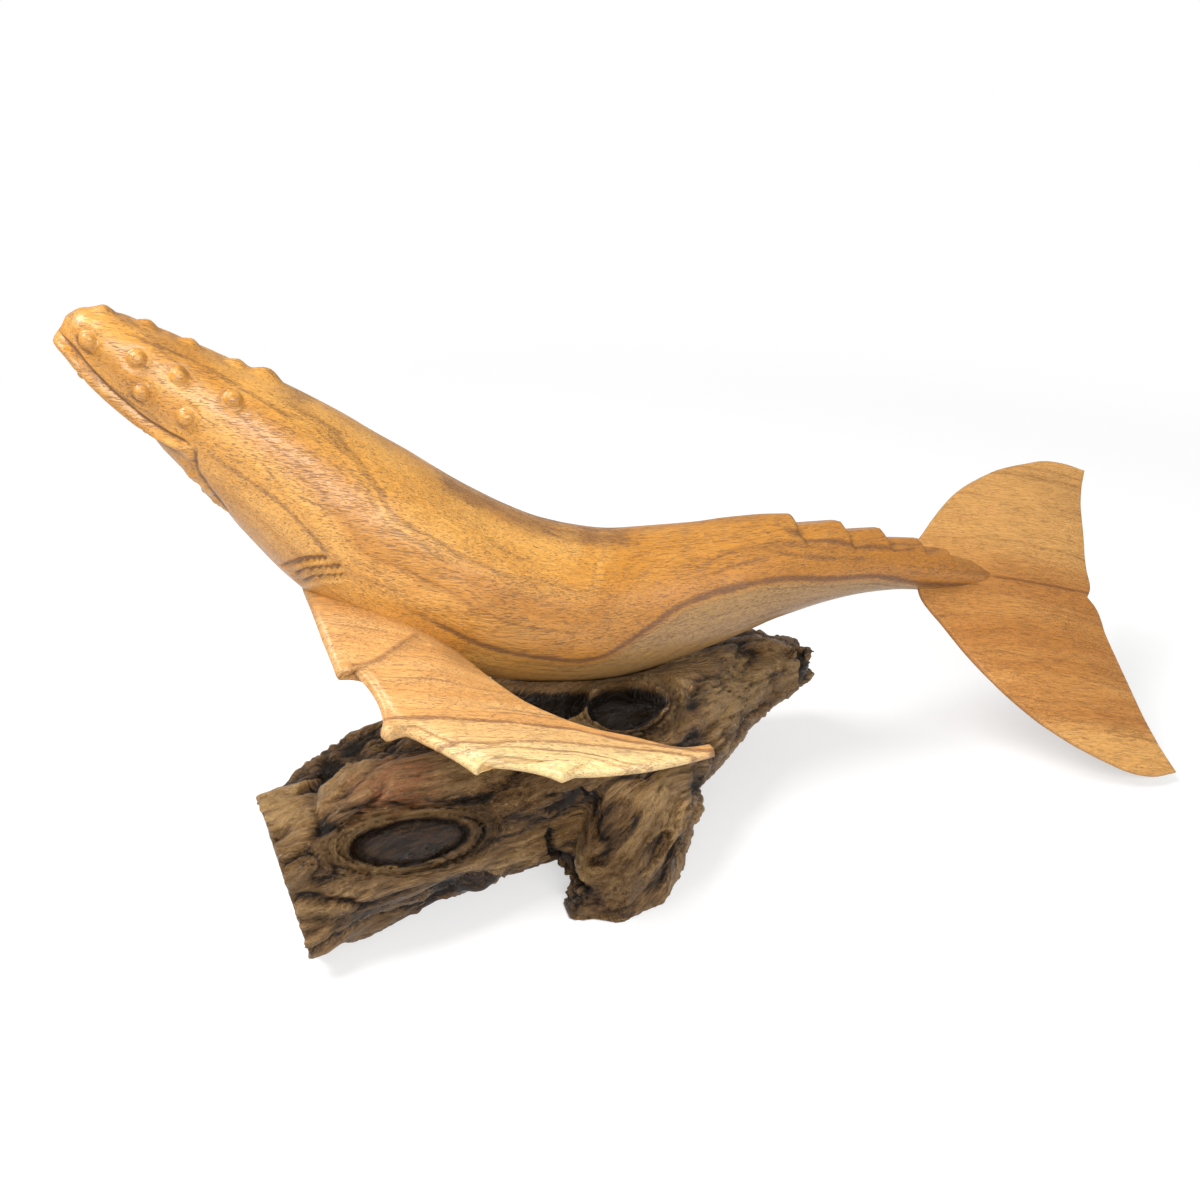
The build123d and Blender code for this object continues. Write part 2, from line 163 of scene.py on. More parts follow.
def smooth_through(knots: Array, values: Array, places: Array) -> Array:
    """Cubic curve through given values, with slopes from their neighbours.

    Args:
        knots: rising places of the values, shape (n,).
        values: what the curve passes through, shape (n, k).
        places: where to read the curve, shape (m,).

    Returns:
        The curve's values, shape (m, k).
    """
    slopes = np.gradient(values, knots, axis=0)
    index = np.clip(np.searchsorted(knots, places) - 1, 0, len(knots) - 2)
    span = (knots[index + 1] - knots[index])[:, None]
    part = (places - knots[index])[:, None] / span
    square, cube = part**2, part**3
    start = (2 * cube - 3 * square + 1) * values[index]
    start += (cube - 2 * square + part) * span * slopes[index]
    end = (3 * square - 2 * cube) * values[index + 1]
    return start + end + (cube - square) * span * slopes[index + 1]


def along_line(points: Array) -> Array:
    """Distance run along a line of points, from 0 at the first."""
    steps = np.linalg.norm(np.diff(points, axis=0), axis=1)
    return np.concatenate([[0.0], np.cumsum(steps)])


def resample(points: Array, count: int, smooth: bool) -> Array:
    """A line's points spread evenly along it.

    Args:
        points: the line's corners, shape (n, k).
        count: how many points to spread.
        smooth: whether the line curves through its corners or runs straight between them.

    Returns:
        Points of the line, shape (count, k).
    """
    run = along_line(points)
    places = np.linspace(0.0, run[-1], count)
    if smooth:
        return smooth_through(run, points, places)
    return np.stack([np.interp(places, run, column) for column in points.T], axis=1)


def beside_line(places: Array, line: Array) -> tuple[Array, Array]:
    """Signed distance from a line in a plane, and the share of the line passed.

    Args:
        places: points in the plane, shape (..., 2).
        line: the line's own points, shape (n, 2), close together.

    Returns:
        Distance, positive to the left of the line's direction, and share from 0 to 1.
    """
    gaps = places[..., None, :] - line
    nearest = np.argmin((gaps**2).sum(-1), axis=-1)
    headings = np.gradient(line, axis=0)
    headings /= np.linalg.norm(headings, axis=1)[:, None]
    heading = headings[nearest]
    gap = places - line[nearest]
    beside = heading[..., 0] * gap[..., 1] - heading[..., 1] * gap[..., 0]
    return beside, nearest / (len(line) - 1)


def beside_curve(places: Array, corners: tuple | Array, count: int) -> tuple[Array, Array]:
    """What beside_line says of the smooth curve through some corners, read at count points."""
    return beside_line(places, resample(np.array(corners, float), count, True))


def between_ends(passed: Array, start: float, end: float) -> Array:
    """1 along a line, easing to 0 before its share start and after its share end."""
    return ease(0.0, start, passed) * ease(1.0, end, passed)


def grid_normals(rings: Array) -> Array:
    """Outward normals of a grid whose columns run round a tube.

    The normal is the cross product of the step round the ring and the step along the tube,
    turned where it points at the ring's middle.

    Args:
        rings: points of the tube, shape (rows, columns, 3).

    Returns:
        Unit vectors, shape (rows, columns, 3).
    """
    round_step = np.roll(rings, -1, axis=1) - np.roll(rings, 1, axis=1)
    normals = np.cross(round_step, np.gradient(rings, axis=0))
    normals /= np.maximum(np.linalg.norm(normals, axis=-1, keepdims=True), 1e-9)
    outward = rings - rings.mean(axis=1, keepdims=True)
    return -normals if (normals * outward).sum() < 0 else normals


# Making meshes


def placed(name: str, data: bpy.types.ID) -> Piece:
    """A new object in the scene that holds the given data."""
    piece = bpy.data.objects.new(name, data)
    bpy.context.scene.collection.objects.link(piece)
    return piece


def tube_piece(name: str, rings: Array) -> Piece:
    """A closed mesh of rings, whose two ends are fans to the middle of the end rings.

    Args:
        name: the piece's name.
        rings: points in millimetres, shape (rows, columns, 3).

    Returns:
        The new object, smooth shaded, with its faces outwards.
    """
    rows, columns = rings.shape[:2]
    index = np.arange(rows * columns).reshape(rows, columns)
    near, far = index[:-1], index[1:]
    quads = np.stack([near, np.roll(near, -1, 1), np.roll(far, -1, 1), far], axis=-1)
    quads = quads.reshape(-1, 4)
    start = np.full(columns, rows * columns)
    first_fan = np.stack([start, np.roll(index[0], -1), index[0]], axis=-1)
    last_fan = np.stack([start + 1, index[-1], np.roll(index[-1], -1)], axis=-1)
    middles = np.stack([rings[0].mean(axis=0), rings[-1].mean(axis=0)])
    points = np.concatenate([rings.reshape(-1, 3), middles])
    corners = points[quads[:, :3]]
    volume = np.einsum("ij,ij->", corners[:, 0], np.cross(corners[:, 1], corners[:, 2]))
    order = -1 if volume < 0 else 1
    faces = []
    for part in (quads, first_fan, last_fan):
        faces += part[:, ::order].tolist()
    mesh = bpy.data.meshes.new(name)
    mesh.from_pydata((points * MM).tolist(), [], faces)
    mesh.shade_smooth()
    return placed(name, mesh)


def points_of(piece: Piece) -> Array:
    """The vertices of a piece in millimetres, shape (n, 3)."""
    flat = np.zeros(len(piece.data.vertices) * 3, np.float32)
    piece.data.vertices.foreach_get("co", flat)
    return flat.reshape(-1, 3).astype(float) / MM


def paint(piece: Piece, values: dict[str, Array]) -> None:
    """Keeps values or vectors for each vertex, by name, for the piece's material to read.

    Args:
        piece: the piece that keeps them.
        values: arrays of shape (n,) for values, or (n, 3) for vectors.
    """
    for name, array in values.items():
        kind, field = ("FLOAT", "value") if array.ndim == 1 else ("FLOAT_VECTOR", "vector")
        attribute = piece.data.attributes.new(name, kind, "POINT")
        attribute.data.foreach_set(field, array.astype(np.float32).ravel())


def coat(piece: Piece, material: bpy.types.Material) -> None:
    """Makes the material the piece's only one."""
    piece.data.materials.clear()
    piece.data.materials.append(material)


# Materials


@dataclass
class Wiring:
    """Places nodes in one node tree and joins them."""

    tree: bpy.types.NodeTree

    @classmethod
    def fresh(cls, owner: bpy.types.ID) -> "Wiring":
        """Wiring of a material's or a world's own tree, emptied first."""
        owner.use_nodes = True
        owner.node_tree.nodes.clear()
        return cls(owner.node_tree)

    def add(self, kind: str, inputs: dict | None = None, **settings: object) -> bpy.types.Node:
        """A node with its settings made and its inputs fed.

        Args:
            kind: the node's type.
            inputs: sockets to join or values to set, by socket name or number.
            settings: the node's own properties.

        Returns:
            The new node.
        """
        node = self.tree.nodes.new(kind)
        for name, value in settings.items():
            setattr(node, name, value)
        for key, value in (inputs or {}).items():
            if isinstance(value, Socket):
                self.tree.links.new(value, node.inputs[key])
            else:
                node.inputs[key].default_value = value
        return node

    def sum(self, operation: str, *values: object) -> Socket:
        """The result of a Math node on sockets or numbers."""
        return self.add("ShaderNodeMath", dict(enumerate(values)), operation=operation).outputs[0]

    def step(
        self, value: object, low: float, high: float, start: float = 0.0, end: float = 1.0
    ) -> Socket:
        """A smooth step from start at low to end at high."""
        inputs = {0: value, 1: low, 2: high, 3: start, 4: end}
        return self.add("ShaderNodeMapRange", inputs, interpolation_type="SMOOTHSTEP").outputs[0]

    def mix(self, share: object, first: object, second: object, blend: str = "MIX") -> Socket:
        """Two colours mixed by a share."""
        inputs = {0: share, 6: first, 7: second}
        return self.add("ShaderNodeMix", inputs, data_type="RGBA", blend_type=blend).outputs[2]

    def shaded(self, color: Socket, shade: Socket) -> Socket:
        """A colour made lighter or darker by a grey shade."""
        return self.mix(1.0, color, self.vector(shade, shade, shade), "MULTIPLY")

    def swayed(self, value: object, noise: Socket, reach: float) -> Socket:
        """A value moved by a noise, half of its reach up or down."""
        return self.sum("MULTIPLY_ADD", self.sum("SUBTRACT", noise, 0.5), reach, value)

    def noise(self, place: object, detail: float = 2.0, roughness: float = 0.5) -> Socket:
        """Noise from 0 to 1 at a place, one cell to the unit."""
        inputs = {"Vector": place, "Scale": 1.0, "Detail": detail, "Roughness": roughness}
        return self.add("ShaderNodeTexNoise", inputs).outputs[0]

    def long_noise(
        self, place: Socket, cells: Triple, detail: float = 2.0, roughness: float = 0.5
    ) -> Socket:
        """Noise from 0 to 1, with its own cells to the unit along each part of the place."""
        scaled = self.add("ShaderNodeVectorMath", {0: place, 1: cells}, operation="MULTIPLY")
        return self.noise(scaled.outputs[0], detail, roughness)

    def parts(self, place: object) -> list[Socket]:
        """The three parts of a vector."""
        return list(self.add("ShaderNodeSeparateXYZ", {0: place}).outputs)

    def vector(self, *values: object) -> Socket:
        """A vector of three sockets or numbers."""
        return self.add("ShaderNodeCombineXYZ", dict(enumerate(values))).outputs[0]


def new_group(name: str, inputs: dict[str, str], outputs: dict[str, str]) -> bpy.types.NodeTree:
    """An empty node group with named sockets.

    Args:
        name: the group's name.
        inputs: socket types by name.
        outputs: socket types by name.

    Returns:
        The group's tree.
    """
    group = bpy.data.node_groups.new(name, "ShaderNodeTree")
    for label, kind in inputs.items():
        group.interface.new_socket(label, in_out="INPUT", socket_type=kind)
    for label, kind in outputs.items():
        group.interface.new_socket(label, in_out="OUTPUT", socket_type=kind)
    return group


FLOAT, COLOR, VECTOR = "NodeSocketFloat", "NodeSocketColor", "NodeSocketVector"
# What the mid colour is multiplied by where the wood is deepest, which on the body also
# paints the shade that falls towards the tail, and the dirt in its pores
AMBER_AND_SHADE: Color = (0.80, 0.74, 0.65, 1.0)
PORE_DIRT: Color = (0.06, 0.025, 0.01, 1.0)


def wood_figure() -> bpy.types.NodeTree:
    """The figure of planed wood: growth lines, fibres and open pores.

    Growth is the distance across the growth lines in millimetres, and Grain a place whose
    first part runs along the fibres. Drawn is the strength of single lines and recesses; in
    the recesses it is painted shade. A further mask says how far the wood darkens to amber, and
    on the body it also paints shade on the lower flanks and the tail stock. Dark bands come
    where a noise that is long along the fibres and short across the growth passes a level.
    Pores are two stretched noises above a level, and crowd in the bands. The noises' cells are
    to the millimetre.

    Returns:
        The group's tree.
    """
    group = new_group(
        "wood_figure",
        {
            "Growth": FLOAT, "Grain": VECTOR, "Drawn": FLOAT, "Sapwood": FLOAT, "Amber_and_shade": FLOAT,
            "Light": COLOR, "Mid": COLOR, "Dark": COLOR, "Pale": COLOR,
            "Lines": FLOAT, "Pores": FLOAT, "Roughness": FLOAT,
        },
        {"Color": COLOR, "Roughness": FLOAT, "Height": FLOAT},
    )
    w = Wiring(group)
    given = w.add("NodeGroupInput").outputs
    grain = given["Grain"]
    along = w.parts(grain)[0]
    drift = w.long_noise(grain, (0.016, 0.07, 0.07), 3.0)
    waver = w.long_noise(grain, (0.09, 0.35, 0.35))
    growth = w.sum("MULTIPLY_ADD", drift, 9.0, given["Growth"])
    growth = w.sum("MULTIPLY_ADD", waver, 1.3, growth)

    def bands_of(across: float, lengthwise: float, offset: float, *texture: float) -> Socket:
        """Noise with its cells across the growth lines and lengthwise along the fibres."""
        crosswise, run = w.sum("MULTIPLY", growth, across), w.sum("MULTIPLY", along, lengthwise)
        return w.noise(w.vector(crosswise, run, offset), *texture)

    tone = bands_of(0.09, 0.006, 0.0)
    color = w.mix(w.step(tone, 0.36, 0.64), given["Mid"], given["Light"])
    cloud = w.long_noise(grain, (0.03, 0.09, 0.09), 3.0, 0.6)
    color = w.mix(w.step(cloud, 0.62, 0.38, 0.0, 0.45), color, given["Mid"])
    # Darker amber where the amber mask is up: the wood's own tone, and on the body also painted
    # shade
    color = w.mix(given["Amber_and_shade"], color, w.mix(1.0, given["Mid"], AMBER_AND_SHADE, "MULTIPLY"))
    color = w.mix(given["Sapwood"], color, given["Pale"])

    streaks = w.step(bands_of(0.36, 0.009, 7.0, 3.0, 0.6), 0.52, 0.72)
    thin = w.step(bands_of(0.95, 0.014, 3.0, 3.0, 0.65), 0.55, 0.75, 0.0, 0.8)
    bands = w.sum("MULTIPLY", w.sum("MAXIMUM", streaks, thin), given["Lines"])
    speckle = w.long_noise(grain, (0.5, 2.4, 2.4), 2.0, 0.6)
    rough_edge = w.sum("MULTIPLY_ADD", w.sum("ADD", waver, speckle), 0.5, given["Drawn"])
    drawn = w.sum("MULTIPLY", w.step(rough_edge, 0.72, 1.35), w.step(given["Drawn"], 0.02, 0.2))
    bands = w.sum("MAXIMUM", bands, drawn)
    color = w.mix(w.sum("MULTIPLY", bands, 0.78), color, given["Dark"])

    fibres = w.long_noise(grain, (0.10, 1.9, 1.9), 4.0, 0.72)
    color = w.shaded(color, w.step(fibres, 0.25, 0.75, 0.74, 1.20))
    crowd = w.long_noise(grain, (0.05, 0.2, 0.2))
    level = w.sum("MULTIPLY_ADD", crowd, -0.2, w.sum("MULTIPLY_ADD", bands, -0.10, 0.72))
    dashes = w.long_noise(grain, (0.24, 3.7, 3.7), 1.0, 0.4)
    specks = w.long_noise(grain, (0.65, 6.2, 6.2), 1.0, 0.4)
    dashes = w.step(w.sum("SUBTRACT", dashes, level), -0.01, 0.05)
    specks = w.step(w.sum("SUBTRACT", specks, level), -0.03, 0.06, 0.0, 0.6)
    pores = w.sum("MULTIPLY", w.sum("MAXIMUM", dashes, specks), given["Pores"])
    color = w.mix(pores, color, w.mix(0.45, given["Dark"], PORE_DIRT))

    rough = w.sum("MULTIPLY_ADD", pores, 0.25, given["Roughness"])
    rough = w.swayed(rough, fibres, 0.35)
    height = w.sum("MULTIPLY_ADD", pores, -1.0, w.sum("MULTIPLY", fibres, 0.6))
    w.add("NodeGroupOutput", {"Color": color, "Roughness": rough, "Height": height})
    return group


def gnarled_figure() -> bpy.types.NodeTree:
    """The figure of weathered root: worn ridges, dark knots, crevices darkened as painted shade,
    uneven varnish.

    Relief is how far the surface stands out in millimetres, Flow a place whose first part
    follows the furrows, and Knot, Red and Tan are masks. The noises' cells are to the
    millimetre.

    Returns:
        The group's tree.
    """
    group = new_group(
        "gnarled_figure",
        {
            "Relief": FLOAT, "Flow": VECTOR, "Knot": FLOAT, "Red": FLOAT, "Tan": FLOAT,
            "Ridge": COLOR, "Body": COLOR, "Crevice_shade_and_knot_dark": COLOR, "Heartwood": COLOR, "Bark": COLOR,
        },
        {"Color": COLOR, "Roughness": FLOAT, "Height": FLOAT},
    )
    w = Wiring(group)
    given = w.add("NodeGroupInput").outputs
    flow = given["Flow"]
    patch = w.long_noise(flow, (0.03, 0.07, 0.07), 3.0, 0.6)
    threads = w.long_noise(flow, (0.09, 0.85, 0.85), 5.0, 0.72)
    hairs = w.long_noise(flow, (0.22, 2.4, 2.4), 3.0, 0.7)
    grit = w.long_noise(flow, (1.1, 1.9, 1.9), 3.0, 0.65)
    shine = w.long_noise(flow, (0.06, 0.11, 0.11), 3.0, 0.6)

    level = w.swayed(w.swayed(given["Relief"], threads, 7.0), hairs, 4.6)
    # Painted shade: where the relief is low the colour falls to near black in the crevices
    color = w.mix(w.step(level, -3.0, -0.5), given["Crevice_shade_and_knot_dark"], given["Body"])
    raised = w.sum("MULTIPLY", w.step(level, -1.0, 1.1), w.step(patch, 0.36, 0.6, 0.3, 1.0))
    color = w.mix(raised, color, given["Ridge"])
    tan = w.sum("MULTIPLY", given["Tan"], w.step(threads, 0.3, 0.6))
    color = w.mix(tan, color, given["Ridge"])
    red = w.sum("MULTIPLY", given["Red"], w.step(threads, 0.36, 0.6, 0.0, 0.9))
    color = w.mix(red, color, given["Bark"])
    dark = w.mix(w.step(threads, 0.42, 0.60), given["Crevice_shade_and_knot_dark"], given["Heartwood"])
    color = w.mix(given["Knot"], color, dark)
    color = w.shaded(color, w.step(grit, 0.3, 0.7, 0.78, 1.2))

    rough = w.step(shine, 0.40, 0.60, 0.48, 0.16)
    height = w.sum("MULTIPLY_ADD", threads, 0.9, w.sum("MULTIPLY", grit, 0.3))
    height = w.sum("MULTIPLY_ADD", hairs, 0.45, height)
    w.add("NodeGroupOutput", {"Color": color, "Roughness": rough, "Height": height})
    return group


def group_of(name: str) -> bpy.types.NodeTree:
    """The named node group, made the first time that it is asked for."""
    makers = {"wood_figure": wood_figure, "gnarled_figure": gnarled_figure}
    return bpy.data.node_groups.get(name) or makers[name]()


def finish_material(
    name: str, group: str, inputs: dict, bump: float, gloss: float
) -> bpy.types.Material:
    """A material whose colour, roughness and height come from a node group.

    Args:
        name: the material's name.
        group: the node group's name.
        inputs: values of the group's sockets. A string is the attribute that feeds it.
        bump: depth of the finest relief in millimetres.
        gloss: level of the mirror light.

    Returns:
        The material.
    """
    material = bpy.data.materials.new(name)
    w = Wiring.fresh(material)
    figure = w.add("ShaderNodeGroup", node_tree=group_of(group))
    for label, value in inputs.items():
        if isinstance(value, str):
            read = w.add("ShaderNodeAttribute", attribute_type="GEOMETRY", attribute_name=value)
            output = "Vector" if figure.inputs[label].type == "VECTOR" else "Fac"
            w.tree.links.new(read.outputs[output], figure.inputs[label])
        else:
            figure.inputs[label].default_value = value
    relief = {"Height": figure.outputs["Height"], "Distance": bump * MM, "Strength": 1.0}
    normal = w.add("ShaderNodeBump", relief).outputs[0]
    surface = {
        "Base Color": figure.outputs["Color"],
        "Roughness": figure.outputs["Roughness"],
        "Normal": normal,
        "Specular IOR Level": gloss,
    }
    shader = w.add("ShaderNodeBsdfPrincipled", surface)
    w.add("ShaderNodeOutputMaterial", {"Surface": shader.outputs[0]})
    return material


@dataclass(frozen=True)
class WoodFinish:
    """One planed and lacquered wood."""

    name: str
    light: Color
    mid: Color
    dark: Color
    pale: Color
    lines: float
    pores: float
    roughness: float
    gloss: float
    bump: float = 0.14

    def material(self) -> bpy.types.Material:
        """The wood's material, which reads how the wood lies at each point of the piece."""
        inputs = {
            "Growth": "growth", "Grain": "grain", "Drawn": "drawn",
            "Sapwood": "sapwood", "Amber_and_shade": "amber_and_shade",
            "Light": self.light, "Mid": self.mid, "Dark": self.dark, "Pale": self.pale,
            "Lines": self.lines, "Pores": self.pores, "Roughness": self.roughness,
        }
        return finish_material(self.name, "wood_figure", inputs, self.bump, self.gloss)


@dataclass(frozen=True)
class RootFinish:
    """Weathered root under uneven varnish."""

    ridge: Color = (0.43, 0.26, 0.10, 1.0)
    body: Color = (0.185, 0.096, 0.032, 1.0)
    # Near black: painted shade in the crevices, and the darkest threads of the knots
    crevice_shade_and_knot_dark: Color = (0.012, 0.006, 0.002, 1.0)
    heartwood: Color = (0.050, 0.022, 0.007, 1.0)
    bark: Color = (0.30, 0.110, 0.040, 1.0)
    bump: float = 2.4
    gloss: float = 0.55

    def material(self) -> bpy.types.Material:
        """The root's material, which reads the piece's relief, flow and masks."""
        inputs = {
            "Relief": "relief", "Flow": "flow", "Knot": "knot", "Red": "red", "Tan": "tan",
            "Ridge": self.ridge, "Body": self.body, "Crevice_shade_and_knot_dark": self.crevice_shade_and_knot_dark,
            "Heartwood": self.heartwood, "Bark": self.bark,
        }
        return finish_material("root_wood", "gnarled_figure", inputs, self.bump, self.gloss)


BODY_WOOD = WoodFinish(
    "body_wood",
    light=(0.76, 0.375, 0.075, 1.0),
    mid=(0.56, 0.23, 0.022, 1.0),
    dark=(0.17, 0.062, 0.014, 1.0),
    # The belly's pale sapwood, set darker to paint the shade under the belly
    pale=(0.38, 0.215, 0.07, 1.0),
    lines=0.5,
    pores=0.65,
    roughness=0.34,
    gloss=0.8,
)
FLIPPER_WOOD = WoodFinish(
    "flipper_wood",
    light=(0.74, 0.41, 0.14, 1.0),
    mid=(0.64, 0.31, 0.085, 1.0),
    dark=(0.25, 0.095, 0.028, 1.0),
    pale=(0.80, 0.55, 0.235, 1.0),
    lines=0.8,
    pores=0.6,
    roughness=0.40,
    gloss=0.8,
)
FLUKE_WOOD = WoodFinish(
    "fluke_wood",
    light=(0.56, 0.265, 0.070, 1.0),
    mid=(0.43, 0.175, 0.038, 1.0),
    dark=(0.20, 0.072, 0.018, 1.0),
    pale=(0.66, 0.35, 0.105, 1.0),
    lines=0.45,
    pores=0.45,
    roughness=0.42,
    gloss=0.35,
)
DOWEL_WOOD = WoodFinish(
    "dowel_wood",
    light=(0.74, 0.56, 0.34, 1.0),
    mid=(0.66, 0.47, 0.26, 1.0),
    dark=(0.40, 0.25, 0.12, 1.0),
    pale=(0.74, 0.56, 0.34, 1.0),
    lines=0.3,
    pores=0.3,
    roughness=0.6,
    gloss=0.3,
)


# The whale's body


@dataclass
class WhaleBody:
    """One carving from the snout to the pointed end of the tail stock."""

    length: float = 325.0
    spine_height: float = 78.5
    snout_rise: float = 110.0
    width: float = 63.0
    height: float = 60.0
    rows: int = 450
    columns: int = 216
    tubercle_radius: float = 2.6
    tubercle_stand: float = 1.8
    crest_stand: float = 3.0
    lip_stand: float = 1.6
    groove_depth: float = 1.3
    pleat_depth: float = 1.7
    knuckle_depth: float = 4.2
    flank_slope: float = 0.30
    tool_marks: float = 0.16
    # Size of the tool marks' cells along each axis
    mark_cell: Triple = (16.0, 11.0, 11.0)
    # Points that a drawn line in side view and the growth guide are read at
    line_steps: int = 60
    guide_steps: int = 200
    # Place along X and rise of the spine, half width, height above and depth below it,
    # and the roundness of the upper and the lower half
    station_shares: tuple = (
        (-0.502, 1.000, 0.036, 0.050, 0.050, 2.0, 2.0),
        (-0.496, 0.988, 0.095, 0.115, 0.105, 2.2, 2.1),
        (-0.484, 0.962, 0.145, 0.160, 0.150, 2.4, 2.2),
        (-0.458, 0.904, 0.190, 0.208, 0.200, 2.6, 2.2),
        (-0.418, 0.805, 0.246, 0.267, 0.242, 2.6, 2.2),
        (-0.372, 0.686, 0.310, 0.333, 0.317, 2.5, 2.2),
        (-0.320, 0.546, 0.381, 0.408, 0.400, 2.2, 2.1),
        (-0.262, 0.378, 0.452, 0.475, 0.475, 2.1, 2.0),
        (-0.185, 0.200, 0.500, 0.492, 0.508, 2.0, 2.0),
        (-0.092, 0.059, 0.500, 0.475, 0.500, 2.0, 2.0),
        (0.000, -0.001, 0.460, 0.450, 0.458, 2.0, 2.0),
        (0.108, 0.013, 0.389, 0.408, 0.375, 1.9, 2.0),
        (0.200, 0.046, 0.310, 0.358, 0.308, 1.8, 2.0),
        (0.292, 0.051, 0.214, 0.283, 0.250, 1.6, 2.0),
        (0.369, 0.018, 0.151, 0.200, 0.192, 1.5, 2.0),
        (0.431, -0.032, 0.111, 0.142, 0.158, 1.5, 2.0),
        (0.498, -0.105, 0.032, 0.050, 0.100, 1.5, 2.0),
    )
    # Place along X and angle round the body, where 90 is the back and 180 the left flank
    tubercle_shares: tuple = (
        (-0.483, 174.0), (-0.450, 162.0), (-0.422, 154.0),
        (-0.386, 145.0), (-0.436, 188.0), (-0.404, 181.0),
    )
    chin_bump_shares: tuple = ((-0.474, 236.0), (-0.417, 240.0))
    # A chin bump's radius and stand, as shares of a tubercle's
    chin_bump_scale: tuple = (0.6, 0.4)
    # Depth of the trench round a tubercle, its distance in radii and its width
    trench: Triple = (0.35, 1.2, 0.9)
    # How uneven a tubercle is, and the size of that unevenness
    lumpiness: tuple = (0.08, 2.2)
    back_bump_shares: tuple = (-0.483, -0.4535, -0.425, -0.393)
    # Stand and radius of a bump on the back, and depth, distance and width of its trench
    back_bump: tuple = (1.6, 2.6, 0.3, 4.6, 1.4)
    crest_share: float = -0.3715
    crest_radius: float = 2.9
    crest_stretch: Triple = (1.7, 1.0, 1.7)
    mouth_shares: tuple = (
        (-0.514, 1.000), (-0.497, 0.962), (-0.480, 0.885),
        (-0.458, 0.803), (-0.438, 0.745), (-0.402, 0.681),
    )
    throat_shares: tuple = (
        (-0.402, 0.681), (-0.403, 0.610), (-0.394, 0.540), (-0.385, 0.480), (-0.372, 0.400),
    )
    # Hollows over the lip and under the jaw: depth, place above the mouth line and width
    mouth_hollows: tuple = ((0.6, 3.0, 2.4), (1.0, -5.0, 1.7))
    # Depth of the seam down the throat, and height and size of the chips beside it
    throat_seam: Triple = (1.1, 0.8, 2.6)
    # Where the mouth's carving ends along X
    head_end: tuple = (-88.0, -100.0)
    pleat_shares: tuple = (
        ((-0.339, 0.290), (-0.319, 0.338), (-0.291, 0.356)),
        ((-0.332, 0.268), (-0.311, 0.311), (-0.279, 0.327)),
        ((-0.327, 0.239), (-0.306, 0.283), (-0.275, 0.299)),
    )
    # Stand of a pleat's raised edge, its distance from the groove and its width
    pleat_edge: Triple = (0.8, 2.2, 1.2)
    # Step along X and down from the last valley to the ridge's end, and the cut's play
    ridge_end: tuple = (12.0, 4.5)
    ridge_play: float = 0.25
    # Each knuckle's peak and the valley behind it along X, and the valley's depth
    knuckle_shares: tuple = (
        (0.225, 0.232, 0.60), (0.288, 0.294, 1.00), (0.341, 0.348, 0.90),
        (0.393, 0.398, 0.65), (0.433, 0.438, 0.40),
    )
    # The growth line that the others follow in side view, from the snout to the tail
    growth_guide: tuple = (
        (-166, 186), (-148, 172), (-130, 155), (-121, 147), (-108, 136), (-100, 126), (-92, 113),
        (-81, 105), (-63, 92), (-48, 82), (-30, 75), (-9, 71), (8, 79), (21, 85), (41, 88),
        (63, 88), (84, 84), (107, 80), (124, 74), (150, 68), (200, 54),
    )
    # Dark growth lines in side view, each with its strength and its width
    growth_lines: tuple = (
        (growth_guide[6:], 0.85, 1.5),
        (((18, 60), (36, 69), (50, 73), (68, 75), (88, 76)), 0.5, 1.3),
        (((-64, 139), (-45, 125), (-17, 110), (-4, 106), (18, 103)), 0.55, 2.4),
        (((62, 105), (68, 102), (76, 100), (91, 95), (107, 91), (130, 86)), 0.7, 1.4),
        (((48, 102), (61, 97), (76, 93), (106, 87)), 0.55, 1.3),
        (((-148, 188), (-128, 178), (-113, 168), (-97, 156)), 0.55, 0.8),
        (((-130, 155), (-121, 147), (-108, 136), (-100, 126), (-92, 113)), 0.6, 1.2),
        (((-112, 150), (-109, 144), (-102, 138), (-88, 130)), 0.55, 0.8),
        (((-106, 163), (-97, 158), (-88, 148)), 0.45, 0.9),
    )
    # Stripes under the growth guide, each with its level, strength and width
    stripes: tuple = ((-3.4, 0.5, 0.6), (-5.6, 0.42, 0.5), (-8.6, 0.5, 0.7), (-11.5, 0.4, 0.6))
    # How far the fibres follow the spine's bend and sink towards the tail, and the growth
    # that a point gains from the square of its distance from the middle plane
    fibre_bend: float = 0.35
    fibre_sink: float = 0.03
    growth_wrap: float = 0.004
    # A brown oval in the upper flank: its middle, half length and half width in side view
    stain: tuple = ((-32, 99), 19.0, 6.5)

    def spine_rows(self) -> Array:
        """Station values at every row, closer together on the head and the ridge.

        Returns:
            Columns x, z, half width, height, depth, upper and lower roundness.
        """
        table = np.array(self.station_shares)
        scaled = table * [self.length, self.snout_rise, self.width, self.height, self.height, 1, 1]
        scaled[:, 1] += self.spine_height
        run = along_line(scaled[:, :2])
        fine = np.linspace(0.0, run[-1], 2000)
        places = np.interp(fine, run, scaled[:, 0])
        density = 1.0 + 1.1 * ease(-85, -105, places) + 0.9 * bell(places - 118, 40)
        share = np.cumsum(density)
        share = (share - share[0]) / (share[-1] - share[0])
        return smooth_through(run, scaled, np.interp(np.linspace(0, 1, self.rows), share, fine))

    def angles(self) -> Array:
        """The columns' angles, which stand closer together below the middle of the flanks.

        Returns:
            Radians from the right flank over the back, shape (columns,).
        """
        fine = np.linspace(0, 2 * math.pi, 3601)
        low = bell(np.sin(fine) + 0.45, 0.55)
        share = along_line(np.cumsum(1.0 + 0.9 * low)[:, None])
        return np.interp(np.arange(self.columns) / self.columns, share / share[-1], fine)

